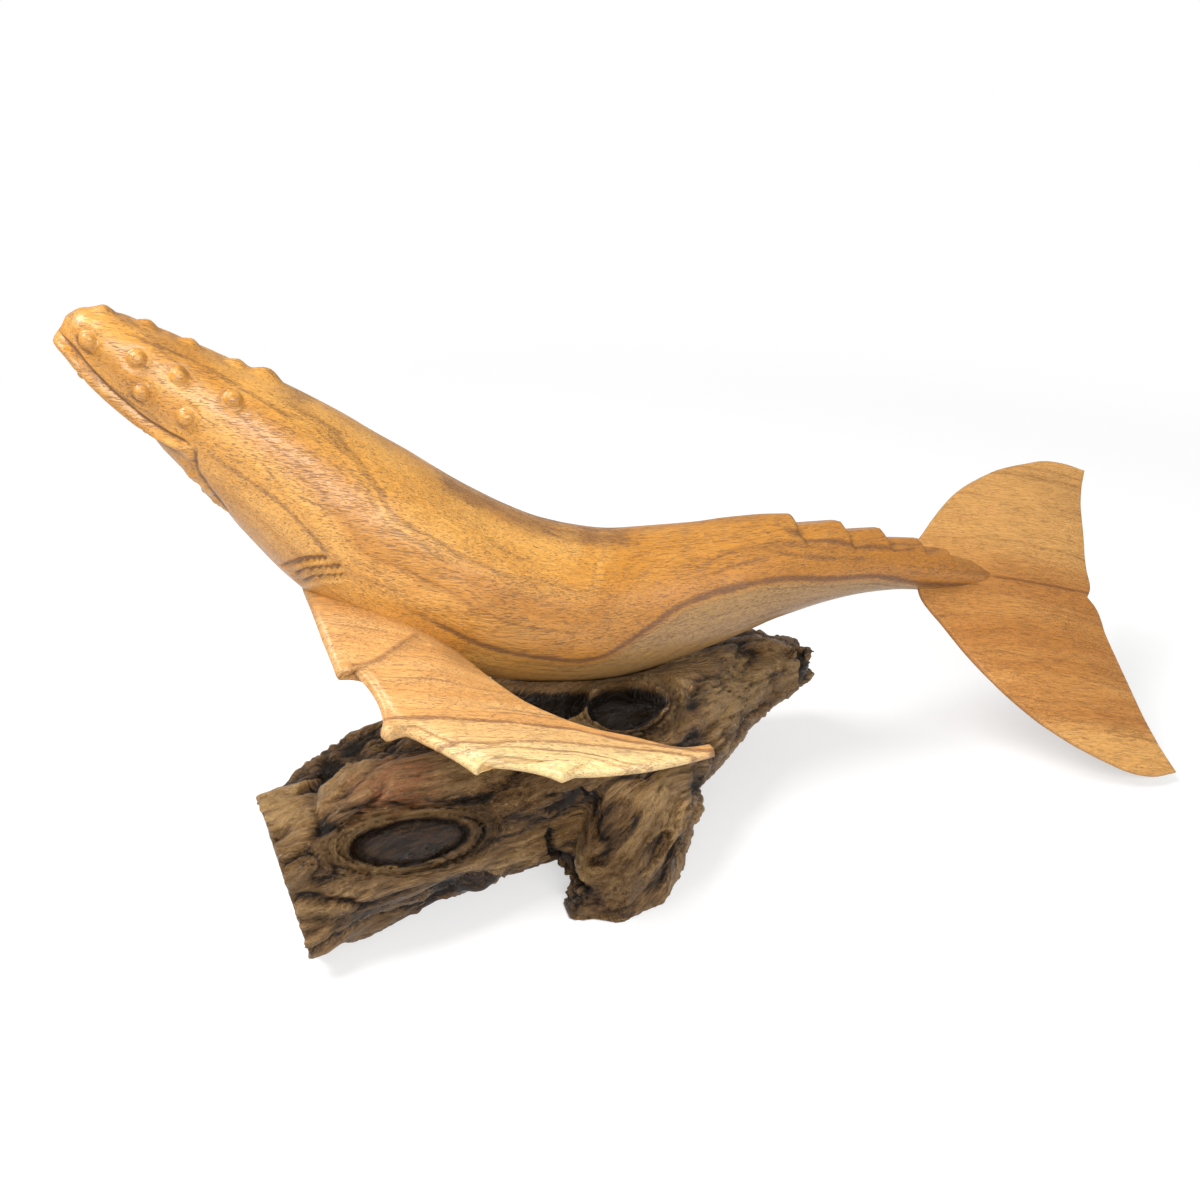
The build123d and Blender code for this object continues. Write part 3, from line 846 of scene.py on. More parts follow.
    def skin(self) -> tuple[Array, Array]:
        """The plain body: superellipse sections square to the spine.

        At angle a a section's point lies |cos a|^(2/n) half widths across and |sin a|^(2/n)
        heights up from the spine, with n the roundness of that half.

        Returns:
            Ring points and the spine's rows.
        """
        spine = self.spine_rows()
        heading = np.gradient(spine[:, :2], axis=0)
        heading /= np.linalg.norm(heading, axis=1)[:, None]
        angle = self.angles()
        side, up = np.cos(angle), np.sin(angle)
        upper = up[None] > 0
        power = 2.0 / np.where(upper, spine[:, 5:6], spine[:, 6:7])
        across = np.sign(side) * np.abs(side) ** power * spine[:, 2:3]
        rise = np.sign(up) * np.abs(up) ** power * np.where(upper, spine[:, 3:4], spine[:, 4:5])
        x = spine[:, 0:1] - heading[:, 1:2] * rise
        z = spine[:, 1:2] + heading[:, 0:1] * rise
        return np.stack([x, across, z], axis=-1), spine

    def skin_place(self, rings: Array, spine: Array, share: float, degrees: float) -> Array:
        """The point of the skin at a place along X and an angle.

        Args:
            rings: points of the plain body.
            spine: the spine's rows.
            share: place along X, as a share of the length.
            degrees: angle round the body.

        Returns:
            The nearest ring point, shape (3,).
        """
        row = np.argmin(np.abs(spine[:, 0] - share * self.length))
        column = np.argmin(np.abs(np.degrees(self.angles()) - degrees % 360))
        return rings[row, column]

    def beside_shares(self, rings: Array, shares: tuple) -> tuple[Array, Array]:
        """What beside_curve says in side view of the curve through some shares."""
        corners = np.array(shares) * [self.length, self.snout_rise] + [0, self.spine_height]
        return beside_curve(rings[..., [0, 2]], corners, self.line_steps)

    def bumps(self, rings: Array, spine: Array) -> Array:
        """Height of the tubercles, the bumps on the back and the blowhole's crest.

        Each knob is stand * sqrt(1 - (d / r)^2) with a shallow trench round it, d being the
        distance from its middle. The crest and the bumps on the back are bells.

        Args:
            rings: points of the plain body.
            spine: the spine's rows.

        Returns:
            Height at each point.
        """

        def away(share: float, degrees: float, stretch: Triple = (1.0, 1.0, 1.0)) -> Array:
            """Distance of every point from a place on the skin, shorter along the stretch."""
            gap = rings - self.skin_place(rings, spine, share, degrees)
            return np.linalg.norm(gap / stretch, axis=-1)

        crest = away(self.crest_share, 90, self.crest_stretch)
        height = self.crest_stand * bell(crest, self.crest_radius)
        stand, radius, depth, distance, breadth = self.back_bump
        for share in self.back_bump_shares:
            gap = away(share, 90)
            height += stand * bell(gap, radius) - depth * bell(gap - distance, breadth)
        lumpiness, cell = self.lumpiness
        lumps = 1 + lumpiness * layered_noise(rings / cell, Seed.TUBERCLES, 2)
        depth, distance, breadth = self.trench
        knobs = [(place, 1.0, 1.0) for place in self.tubercle_shares]
        knobs += [(place, *self.chin_bump_scale) for place in self.chin_bump_shares]
        for (share, degrees), wider, higher in knobs:
            radius, stand = self.tubercle_radius * wider, self.tubercle_stand * higher
            for turned in (degrees, 180 - degrees):
                gap = away(share, turned)
                height += stand * np.sqrt(np.clip(1 - (gap * lumps / radius) ** 2, 0, 1))
                height -= depth * bell(gap - distance * radius, breadth)
        return height

    def mouth(self, rings: Array) -> Array:
        """Height of the mouth: a groove, the lip's ridge under it and a narrower jaw.

        The profile is a sum of bells of the distance above the mouth line. A chipped seam
        runs on from the mouth's corner down the throat.

        Args:
            rings: points of the plain body.

        Returns:
            Height at each point.
        """
        above, share = self.beside_shares(rings, self.mouth_shares)
        height = -self.groove_depth * bell(above, 0.8)
        height += self.lip_stand * bell(above + 1.9, 1.3)
        for depth, place, breadth in self.mouth_hollows:
            height -= depth * bell(above - place, breadth)
        height *= between_ends(share, 0.12, 0.93)
        beside, passed = self.beside_shares(rings, self.throat_shares)
        fade = between_ends(passed, 0.04, 0.75)
        depth, stand, cell = self.throat_seam
        chips = layered_noise(rings / cell, Seed.THROAT_CHIPS, 2)
        height -= depth * bell(beside, 1.0) * fade
        height += stand * chips * bell(beside + 2.2, cell) * fade
        return height * ease(*self.head_end, rings[..., 0])

    def pleats(self, rings: Array) -> Array:
        """Height of the throat's pleats: three short grooves with raised edges.

        Args:
            rings: points of the plain body.

        Returns:
            Height at each point, 0 along the middle of the throat.
        """
        height = np.zeros(rings.shape[:2])
        stand, distance, breadth = self.pleat_edge
        for shares in self.pleat_shares:
            beside, passed = self.beside_shares(rings, shares)
            edge = stand * bell(beside + distance, breadth)
            groove = self.pleat_depth * bell(beside, 1.0)
            height += between_ends(passed, 0.12, 0.86) * (edge - groove)
        return height * ease(0.0, 6.0, np.abs(rings[..., 1]))

    def cut_knuckles(self, rings: Array) -> Array:
        """The ridge with its knuckles: no point stands over the cut's line.

        The cut falls from each peak to the valley behind it, and slopes off to both flanks.

        Args:
            rings: points of the carved body.

        Returns:
            The points after the cut.
        """
        crown = rings[:, self.columns // 4]
        line = []
        for peak, valley, depth in self.knuckle_shares:
            for place, drop in ((peak, 0.0), (valley, depth * self.knuckle_depth)):
                row = np.argmin(np.abs(crown[:, 0] - place * self.length))
                line.append((crown[row, 0], crown[row, 2] - drop))
        step, drop = self.ridge_end
        line = np.array([*line, (line[-1][0] + step, line[-1][1] - drop)])
        span = (rings[..., 0] >= line[0, 0]) & (rings[..., 0] <= line[-1, 0])
        ceiling = np.interp(rings[..., 0], line[:, 0], line[:, 1])
        ceiling = ceiling + self.ridge_play - self.flank_slope * np.abs(rings[..., 1])
        cut = rings.copy()
        cut[..., 2] = np.where(span, np.minimum(rings[..., 2], ceiling), rings[..., 2])
        return cut

    def build(self) -> Piece:
        """The carved body with what its wood needs to know at each point.

        Returns:
            The piece, without its material.
        """
        rings, spine = self.skin()
        carving = self.bumps(rings, spine) + self.mouth(rings) + self.pleats(rings)
        marks = layered_noise(rings / self.mark_cell, Seed.BODY_MARKS, 2) * self.tool_marks
        carved = rings + grid_normals(rings) * (carving + marks)[..., None]
        piece = tube_piece("whale_body_carving", self.cut_knuckles(carved))
        for name, value in self.figure(carved, carving, spine).items():
            flat = value.reshape(-1, *value.shape[2:])
            paint(piece, {name: np.concatenate([flat, flat[:1], flat[-1:]])})
        return piece

    def figure(self, carved: Array, carving: Array, spine: Array) -> dict[str, Array]:
        """What the wood reads: fibres, growth, lines, pale belly, amber flanks and painted shade.

        Args:
            carved: points of the carved body.
            carving: height of the carving at each.
            spine: the spine's rows.

        Returns:
            Arrays by attribute name, each on the body's grid.
        """
        x, y, z = np.moveaxis(carved, -1, 0)
        view = carved[..., [0, 2]]
        below, _ = beside_curve(view, self.growth_guide, self.guide_steps)
        bend = spine[:, 1:2] - self.spine_height
        tilted = z - self.fibre_bend * bend + self.fibre_sink * x
        # Painted shade in the carved grooves, trenches and pleats, the darker the deeper the cut
        recess_shade = 0.9 * ease(0.3, 1.3, -carving)
        lines = [self.drawn_lines(view), recess_shade, self.belly_stripes(below, x)]
        # Painted shade: the lower flank and the tail stock are darkened where the light falls off
        # towards the tail; the flank's deep amber is partly the wood's own tone
        flank = 0.75 * ease(-75, -15, x) * ease(28, 8, below)
        stock = 0.25 * ease(60, 130, x)
        return {
            "grain": np.stack([x, y, tilted], axis=-1),
            "growth": below + self.growth_wrap * y**2,
            "drawn": np.maximum.reduce(lines),
            "sapwood": 0.95 * ease(0.3, -3.5, below) * ease(-70, 10, x),
            "amber_and_shade": flank + stock,
        }

    def belly_stripes(self, below: Array, x: Array) -> Array:
        """Strength of the fine stripes that run under the growth guide along the belly.

        Args:
            below: distance above the guide, negative below it.
            x: places along X.

        Returns:
            Strength from 0 to 1 at each point.
        """
        drawn = np.zeros(below.shape)
        for level, strength, breadth in self.stripes:
            drawn = np.maximum(drawn, strength * bell(below - level, breadth))
        return drawn * ease(-75, -45, x)

    def drawn_lines(self, view: Array) -> Array:
        """Strength of the single growth lines and the stain in side view.

        A line's strength is a bell of the distance from it, faded at both ends.

        Args:
            view: points in side view, shape (..., 2).

        Returns:
            Strength from 0 to 1 at each point.
        """
        drawn = np.zeros(view.shape[:2])
        for corners, strength, breadth in self.growth_lines:
            beside, passed = beside_curve(view, corners, 2 * self.line_steps)
            fade = between_ends(passed, 0.15, 0.85)
            drawn = np.maximum(drawn, strength * fade * bell(beside, breadth))
        middle, length, height = self.stain
        oval = np.linalg.norm((view - middle) / [length, height], axis=-1)
        return np.maximum(drawn, 0.4 * ease(1.3, 0.4, oval))


# Blades: the flippers and the flukes

# How far a tooth's shift reaches into a blade, and the rounding of an edge as a share of it
TOOTH_REACH = 9.0
EDGE_ROUNDING = 0.45


def blade_rings(
    lead: Array, trail: Array, teeth: Array,
    crown: Array, hollow: Array, edge: float, columns: int,
) -> Array:
    """Closed rings of a blade between its leading and its trailing edge.

    A point goes t of the way from the leading to the trailing edge, t bunched at both by a
    cosine, and then out along the middle surface's normal by
    edge / 2 + (crown - edge / 2) * (1 - (2t - 1)^2), rounded off at the two edges. The teeth
    shift the points near the leading edge, by a bell of their distance from it.

    Args:
        lead: points of the leading edge, shape (rows, 3).
        trail: points of the trailing edge, shape (rows, 3).
        teeth: how far each row's leading point lies from the toothed edge, shape (rows, 3).
        crown: how far the upper face stands out in each row.
        hollow: how far the lower face stands out in each row.
        edge: thickness at the edges.
        columns: points across one face.

    Returns:
        Rings of 2 * columns - 2 points, upper face first.
    """
    t = (1.0 - np.cos(np.linspace(0.0, math.pi, columns))) / 2.0
    middle = lead[:, None] * (1 - t)[None, :, None] + trail[:, None] * t[None, :, None]
    normal = np.cross(np.gradient(middle, axis=0), np.gradient(middle, axis=1))
    normal /= np.maximum(np.linalg.norm(normal, axis=-1, keepdims=True), 1e-9)
    normal *= np.sign(normal[..., 2:3].mean())
    arch = 1.0 - (2.0 * t - 1.0) ** 2
    chord = np.linalg.norm(trail - lead, axis=1)[:, None]
    inset = np.minimum(t, 1.0 - t)[None] * chord
    rounded = np.clip(inset / (EDGE_ROUNDING * edge), 0, 1)
    corner = np.sqrt(np.clip(1.0 - (1.0 - rounded) ** 2, 0, 1))
    half = edge / 2.0
    above = (half + np.maximum(crown[:, None] - half, 0.0) * arch) * corner
    below = (half + np.maximum(hollow[:, None] - half, 0.0) * arch) * corner
    middle = middle + teeth[:, None] * bell(t[None] * chord, TOOTH_REACH)[..., None]
    upper = middle + normal * above[..., None]
    lower = middle - normal * below[..., None]
    return np.concatenate([upper, lower[:, -2:0:-1]], axis=1)


@dataclass
class Flipper:
    """One long flipper, a crowned blade with four teeth on its leading edge."""

    side: Side
    length: float = 120.0
    shoulder_x: float = -79.95
    tip_height: float = 68.0
    drop: float = 33.0
    thickness: float = 13.0
    edge: float = 2.9
    rows: int = 300
    columns: int = 60
    tool_marks: float = 0.14
    # Size of the tool marks' cells along each axis, and of the streaks' waves
    mark_cell: Triple = (14.0, 8.0, 8.0)
    wave_cell: tuple = (30.0, 6.0)
    # Points of each arc between the teeth, of a guide line and of the crease, and the rows
    # over which the blade is made fair
    arc_points: int = 24
    guide_steps: int = 400
    line_steps: int = 40
    fair_rows: int = 15
    # Leading and trailing edge, each as the place along X, outwards and above the tip, then
    # the crown of the upper and the lower face
    station_shares: tuple = (
        ((-0.200, 0.050, 1.000), (0.208, 0.100, 0.242), 1.000, 0.380),
        ((-0.200, 0.183, 0.909), (0.217, 0.242, 0.242), 0.700, 0.310),
        ((-0.171, 0.383, 0.576), (0.292, 0.375, 0.212), 0.380, 0.270),
        ((-0.083, 0.592, 0.273), (0.367, 0.467, 0.152), 0.310, 0.230),
        ((0.125, 0.750, 0.061), (0.442, 0.533, 0.091), 0.250, 0.190),
        ((0.333, 0.817, -0.015), (0.525, 0.592, 0.039), 0.200, 0.170),
        ((0.550, 0.833, -0.030), (0.617, 0.650, 0.018), 0.155, 0.130),
        ((0.700, 0.833, -0.020), (0.708, 0.700, 0.000), 0.125, 0.110),
        ((0.783, 0.825, -0.015), (0.775, 0.725, -0.015), 0.110, 0.100),
    )
    root_share: tuple = (-0.200, 0.050)
    # Each tooth's point, the step behind it, the bulge before it and the stand of its knob
    tooth_shares: tuple = (
        ((-0.140, 0.386), (-0.100, 0.371), 0.9, 0.5),
        ((-0.048, 0.572), (0.000, 0.563), -2.2, 1.5),
        ((0.148, 0.713), (0.171, 0.683), -1.1, 0.4),
        ((0.346, 0.772), (0.383, 0.758), -2.2, 0.2),
    )
    knob_breadth: float = 3.6
    tip_share: tuple = (0.748, 0.766)
    tip_bulge: float = 2.2
    trail_shares: tuple = (
        (0.180, 0.050), (0.190, 0.150), (0.214, 0.276), (0.268, 0.379), (0.339, 0.486),
        (0.448, 0.583), (0.542, 0.640), (0.712, 0.755), (0.746, 0.7645),
    )
    # Line of the shoulder's edge over the blade, and the heading of the grain, from above
    crease: tuple = ((-95.0, -46.0), (-87.0, -44.0), (-79.0, -39.0), (-69.0, -31.0))
    grain_start: tuple = (-85.0, -68.0)
    grain_heading: tuple = (0.97, -0.243)
    # Two dark streaks, each as places along the grain and inwards from the start
    streaks: tuple = (
        (
            (-30.0, 4.0), (0.0, 4.0), (17.0, 5.9), (35.0, 7.8), (56.0, 7.7), (70.0, 3.6),
            (92.0, 0.4),
        ),
        (
            (-30.0, -6.0), (5.0, -4.6), (17.0, -2.4), (30.0, -2.2), (47.0, 1.1), (67.0, 0.2),
            (92.0, -3.0),
        ),
    )
    streak_strengths: tuple = (0.8, 0.7)
    # Middle, height and breadth of the shoulder's swelling over the dowels
    shoulder_swell: tuple = ((-66.0, -37.0), 4.0, 14.0)

    def place(self, shares: Array) -> Array:
        """Places along X, outwards and above the tip, on the whale's left side."""
        points = np.array(shares, float) * [self.length, -self.length, self.drop]
        return points + [self.shoulder_x, 0.0, self.tip_height]

    def lead_plan(self) -> Array:
        """The toothed leading edge seen from above, as arcs between the teeth.

        Each arc is a parabola over its chord: 4 * bulge * t * (1 - t) outwards.

        Returns:
            Points from the root to the tip, shape (n, 2).
        """

        def plan(share: tuple) -> Array:
            """A pair of shares as a point."""
            return self.place((*share, 0.0))[:2]

        tip = (self.tip_share, self.tip_share, self.tip_bulge, 0.0)
        part = np.linspace(0, 1, self.arc_points)[:, None]
        points = []
        start = plan(self.root_share)
        for point, step, bulge, _ in (*self.tooth_shares, tip):
            run = plan(point) - start
            out = np.array([run[1], -run[0]]) / np.linalg.norm(run)
            points.append(start + run * part + out * 4 * bulge * part * (1 - part))
            start = plan(step)
        return np.concatenate(points)

    def guided(self, plan: Array, edge: int) -> tuple[Array, Array]:
        """The nearest places to an edge's points on the smooth line through the stations.

        The places are made to run on along the line and evened out over a few rows, so that
        the blade under the teeth stays fair.

        Args:
            plan: the edge's points seen from above, shape (n, 2).
            edge: 0 for the leading and 1 for the trailing edge.

        Returns:
            The places, and the station that each is at.
        """
        table = self.place([row[edge] for row in self.station_shares])
        run = along_line(table[:, :2])
        fine = np.linspace(0, run[-1], self.guide_steps)
        line = smooth_through(run, table, fine)
        gaps = np.linalg.norm(plan[:, None] - line[None, :, :2], axis=-1)
        nearest = np.maximum.accumulate(fine[np.argmin(gaps, axis=1)])
        padded = np.pad(nearest, self.fair_rows // 2, mode="reflect", reflect_type="odd")
        even = np.convolve(padded, np.ones(self.fair_rows) / self.fair_rows, mode="valid")
        return smooth_through(run, table, even), np.interp(even, run, np.arange(len(table)))

    def crowns(self, station: Array) -> list[Array]:
        """How far the upper and the lower face stand out at each station."""
        table = np.array([row[2:] for row in self.station_shares])
        index = np.arange(len(table))
        return [np.interp(station, index, column) * self.thickness for column in table.T]

    def build(self) -> Piece:
        """The flipper with what its wood needs to know at each point.

        Returns:
            The piece, without its material.
        """
        toothed = resample(self.lead_plan(), self.rows, False)
        plan = self.place([(*share, 0.0) for share in self.trail_shares])[:, :2]
        trail = resample(plan, self.rows, True)
        lead, station = self.guided(toothed, 0)
        near_trail, _ = self.guided(trail, 1)
        trail = np.column_stack([trail, near_trail[:, 2]])
        teeth = np.column_stack([toothed - lead[:, :2], 0 * station])
        crown, hollow = self.crowns(station)
        rings = blade_rings(lead, trail, teeth, crown, hollow, self.edge, self.columns)
        swell_place, swell, breadth = self.shoulder_swell
        gap = np.linalg.norm(rings[..., :2] - swell_place, axis=-1)
        rings[..., 2] += swell * bell(gap, breadth)
        rings = rings + grid_normals(rings) * self.carving(rings)[..., None]
        name = f"{self.side.name.lower()}_flipper_blade"
        piece = tube_piece(name, rings * [1, -self.side.value, 1])
        self.mark_grain(piece)
        return piece

    def carving(self, rings: Array) -> Array:
        """Height of the tool marks, the knobs on the teeth and the shoulder's crease.

        A knob is a bell of the distance from its tooth's point, and the crease a raised bell
        with a hollow one beside it, on the upper face alone.

        Args:
            rings: points of the plain blade on the whale's left side.

        Returns:
            Height at each point.
        """
        height = layered_noise(rings / self.mark_cell, Seed.FLIPPER_MARKS, 2) * self.tool_marks
        knobs = np.zeros(rings.shape[:2])
        for point, _, _, stand in self.tooth_shares:
            gap = np.linalg.norm(rings[..., :2] - self.place((*point, 0.0))[:2], axis=-1)
            knobs += stand * bell(gap, self.knob_breadth)
        beside, passed = beside_curve(rings[..., :2], self.crease, self.line_steps)
        upper = np.arange(rings.shape[1])[None] < self.columns
        crease = 0.7 * bell(beside, 1.6) - 0.5 * bell(beside + 3.5, 2.5)
        return height + knobs + upper * between_ends(passed, 0.05, 0.95) * crease

    def mark_grain(self, piece: Piece) -> None:
        """Gives the piece its grain, growth, drawn lines, amber tip and sapwood.

        Args:
            piece: the blade, on its own side of the whale.
        """
        points = points_of(piece)
        above = np.stack([points[:, 0], -np.abs(points[:, 1])], axis=-1)
        plan = above - np.array(self.grain_start)
        heading = np.array(self.grain_heading)
        along = plan @ heading
        inwards = plan @ np.array([-heading[1], heading[0]])
        bounds = [inwards - np.interp(along, *np.array(streak).T) for streak in self.streaks]
        cells = [along / self.wave_cell[0], inwards / self.wave_cell[1], 0 * along]
        wave = layered_noise(np.stack(cells, axis=-1), Seed.STREAK_WAVE, 3)
        beside, passed = beside_curve(above, self.crease, self.line_steps)
        drawn = 0.6 * between_ends(passed, 0.06, 0.94) * bell(beside, 1.6)
        start = ease(-16, 6, along)
        for bound, strength in zip(bounds, self.streak_strengths):
            drawn = np.maximum(drawn, strength * start * bell(bound + 0.8 * wave, 1.0))
        near, far = (bound + wave for bound in bounds)
        values = {
            "grain": np.stack([along, bounds[0], points[:, 2]], axis=-1),
            "growth": 1.5 * (bounds[0] + 0.2 * (points[:, 2] - self.tip_height)),
            "drawn": drawn,
            "amber_and_shade": 0.25 * ease(70, 100, along),
            "sapwood": (0.45 * ease(1.5, -1.5, near) + 0.55 * ease(1.0, -2.0, far)) * start,
        }
        paint(piece, values)


@dataclass
class Flukes:
    """Both halves of the tail's flukes in one board, creased along the middle."""

    half_span: float = 75.5
    chord: float = 80.0
    thickness: float = 9.0
    edge: float = 2.0
    pitch: float = 13.2
    roll: float = 35.5
    yaw: float = -4.0
    droop: float = 4.3
    setback: float = 47.0
    side: float = 0.8
    sink: float = 1.2
    stock_tip: Triple = (161.85, 0.0, 66.95)
    rows: int = 150
    columns: int = 70
    tool_marks: float = 0.16
    mark_cell: float = 13.0
    # How far the fibres lean outwards, and the reach and the cells of the growth's wave
    grain_lean: float = 0.12
    wave_reach: float = 3.0
    wave_cell: tuple = (34.0, 40.0)
    # Dark lines across the near tip: distance from the crease and width
    tip_lines: tuple = ((61.0, 1.6), (68.0, 1.4))
    # Span and chord of half the leading edge, and of half the trailing edge
    lead_shares: tuple = (
        (0.0, -1.0), (0.13, -1.0), (0.28, -0.900), (0.46, -0.765), (0.64, -0.600),
        (0.81, -0.375), (0.94, -0.110), (0.995, 0.050), (1.0, 0.160), (0.967, 0.298),
    )
    trail_shares: tuple = (
        (0.0, 0.0), (0.05, 0.032), (0.21, 0.062), (0.46, 0.125), (0.715, 0.194),
        (0.874, 0.256), (0.957, 0.294), (0.965, 0.2975),
    )
    thickness_shares: tuple = (0.70, 1.00, 0.95, 0.85, 0.72, 0.55, 0.40, 0.30)

    def directions(self) -> tuple[Array, Array, Array]:
        """The chord's direction, the level one across it, and the one square to both.

        Returns:
            Three unit vectors.
        """
        pitch, yaw = math.radians(self.pitch), math.radians(self.yaw)
        forward = [math.cos(pitch) * math.cos(yaw), math.cos(pitch) * math.sin(yaw)]
        chordwise = np.array([*forward, -math.sin(pitch)])
        level = np.array([math.sin(yaw), -math.cos(yaw), 0.0])
        return chordwise, level, np.cross(level, chordwise)

    def half_edges(self, sign: int) -> tuple[Array, Array]:
        """The leading and trailing edge of one half, from the crease to its tip.

        A point is notch + span * outwards + chord * chordwise, and outwards is the level
        direction rolled down to the left.

        Args:
            sign: 1 for the near, left half and -1 for the far one.

        Returns:
            Points of the two edges, shape (rows, 3) each.
        """
        chordwise, level, upright = self.directions()
        notch = np.array(self.stock_tip) + chordwise * self.setback - [0, self.side, self.sink]
        angle = math.radians(self.roll + sign * self.droop)
        outwards = sign * (level * math.cos(angle) - upright * math.sin(angle))

        def edge(shares: tuple) -> Array:
            """The smooth edge through pairs of span and chord shares."""
            plan = resample(np.array(shares), self.rows, True) * [self.half_span, self.chord]
            return notch + plan[:, :1] * outwards + plan[:, 1:] * chordwise

        return edge(self.lead_shares), edge(self.trail_shares)

    def build(self) -> Piece:
        """The flukes with what their wood needs to know at each point.

        Returns:
            The piece, without its material.
        """
        near_lead, near_trail = self.half_edges(1)
        far_lead, far_trail = self.half_edges(-1)
        lead = np.concatenate([near_lead[::-1], far_lead[1:]])
        trail = np.concatenate([near_trail[::-1], far_trail[1:]])
        part = np.abs(np.linspace(-1, 1, len(lead)))
        index = np.linspace(0, 1, len(self.thickness_shares))
        crown = np.interp(part, index, self.thickness_shares) * self.thickness / 2
        teeth = np.zeros_like(lead)
        rings = blade_rings(lead, trail, teeth, crown, crown, self.edge, self.columns)
        marks = layered_noise(rings / self.mark_cell, Seed.FLUKE_MARKS, 2) * self.tool_marks
        piece = tube_piece("tail_flukes_board", rings + grid_normals(rings) * marks[..., None])
        self.mark_grain(piece)
        return piece

    def mark_grain(self, piece: Piece) -> None:
        """Gives the board its grain, growth, crease and tip lines, amber and sapwood.

        Args:
            piece: the finished board.
        """
        chordwise, level, upright = self.directions()
        from_tip = points_of(piece) - np.array(self.stock_tip)
        angle = math.radians(self.roll)
        spanwise = level * math.cos(angle) - upright * math.sin(angle)
        along, span = from_tip @ chordwise, from_tip @ spanwise
        through = from_tip @ np.cross(spanwise, chordwise)
        cells = [along / self.wave_cell[0], span / self.wave_cell[1], 0 * along]
        wave = self.wave_reach * lattice_noise(np.stack(cells, axis=-1), Seed.FLUKE_WAVE)
        crease = 0.85 * bell(span + 0.5, 0.8) * ease(-6, 4, along)
        ragged = span + 2.5 * wave
        tips = [0.4 * bell(ragged - middle, breadth) for middle, breadth in self.tip_lines]
        values = {
            "grain": np.stack([along + self.grain_lean * span, span, through], axis=-1),
            "growth": 0.8 * (span + wave),
            "drawn": np.maximum.reduce([crease, *tips]),
            "amber_and_shade": 0.35 * bell(span - 14, 22),
            "sapwood": 0.7 * ease(4.0, -26.0, span) + 0.7 * ease(54, 66, span),
        }
        paint(piece, values)


# The root


@dataclass(frozen=True)
class Knot:
    """A knot, as an oval plate set in the root's side."""

    place: Triple
    heading: Triple
    outward: Triple
    length: float
    width: float
    sink: float
    swell: float

    def shares(self, points: Array) -> tuple[Array, Array]:
        """How far points lie from the knot's middle, 1 being its rim.

        Args:
            points: places, shape (n, 3).

        Returns:
            The oval distance, and a fade to 0 away from the knot's own side of the root.
        """
        out = np.array(self.outward) / np.linalg.norm(self.outward)
        along = np.array(self.heading) - out * np.dot(self.heading, out)
        along /= np.linalg.norm(along)
        across = np.cross(out, along)
        gap = points - np.array(self.place)
        distance = np.hypot(gap @ along / (self.length / 2), gap @ across / (self.width / 2))
        return distance, ease(self.length * 0.6, self.length * 0.35, np.abs(gap @ out))


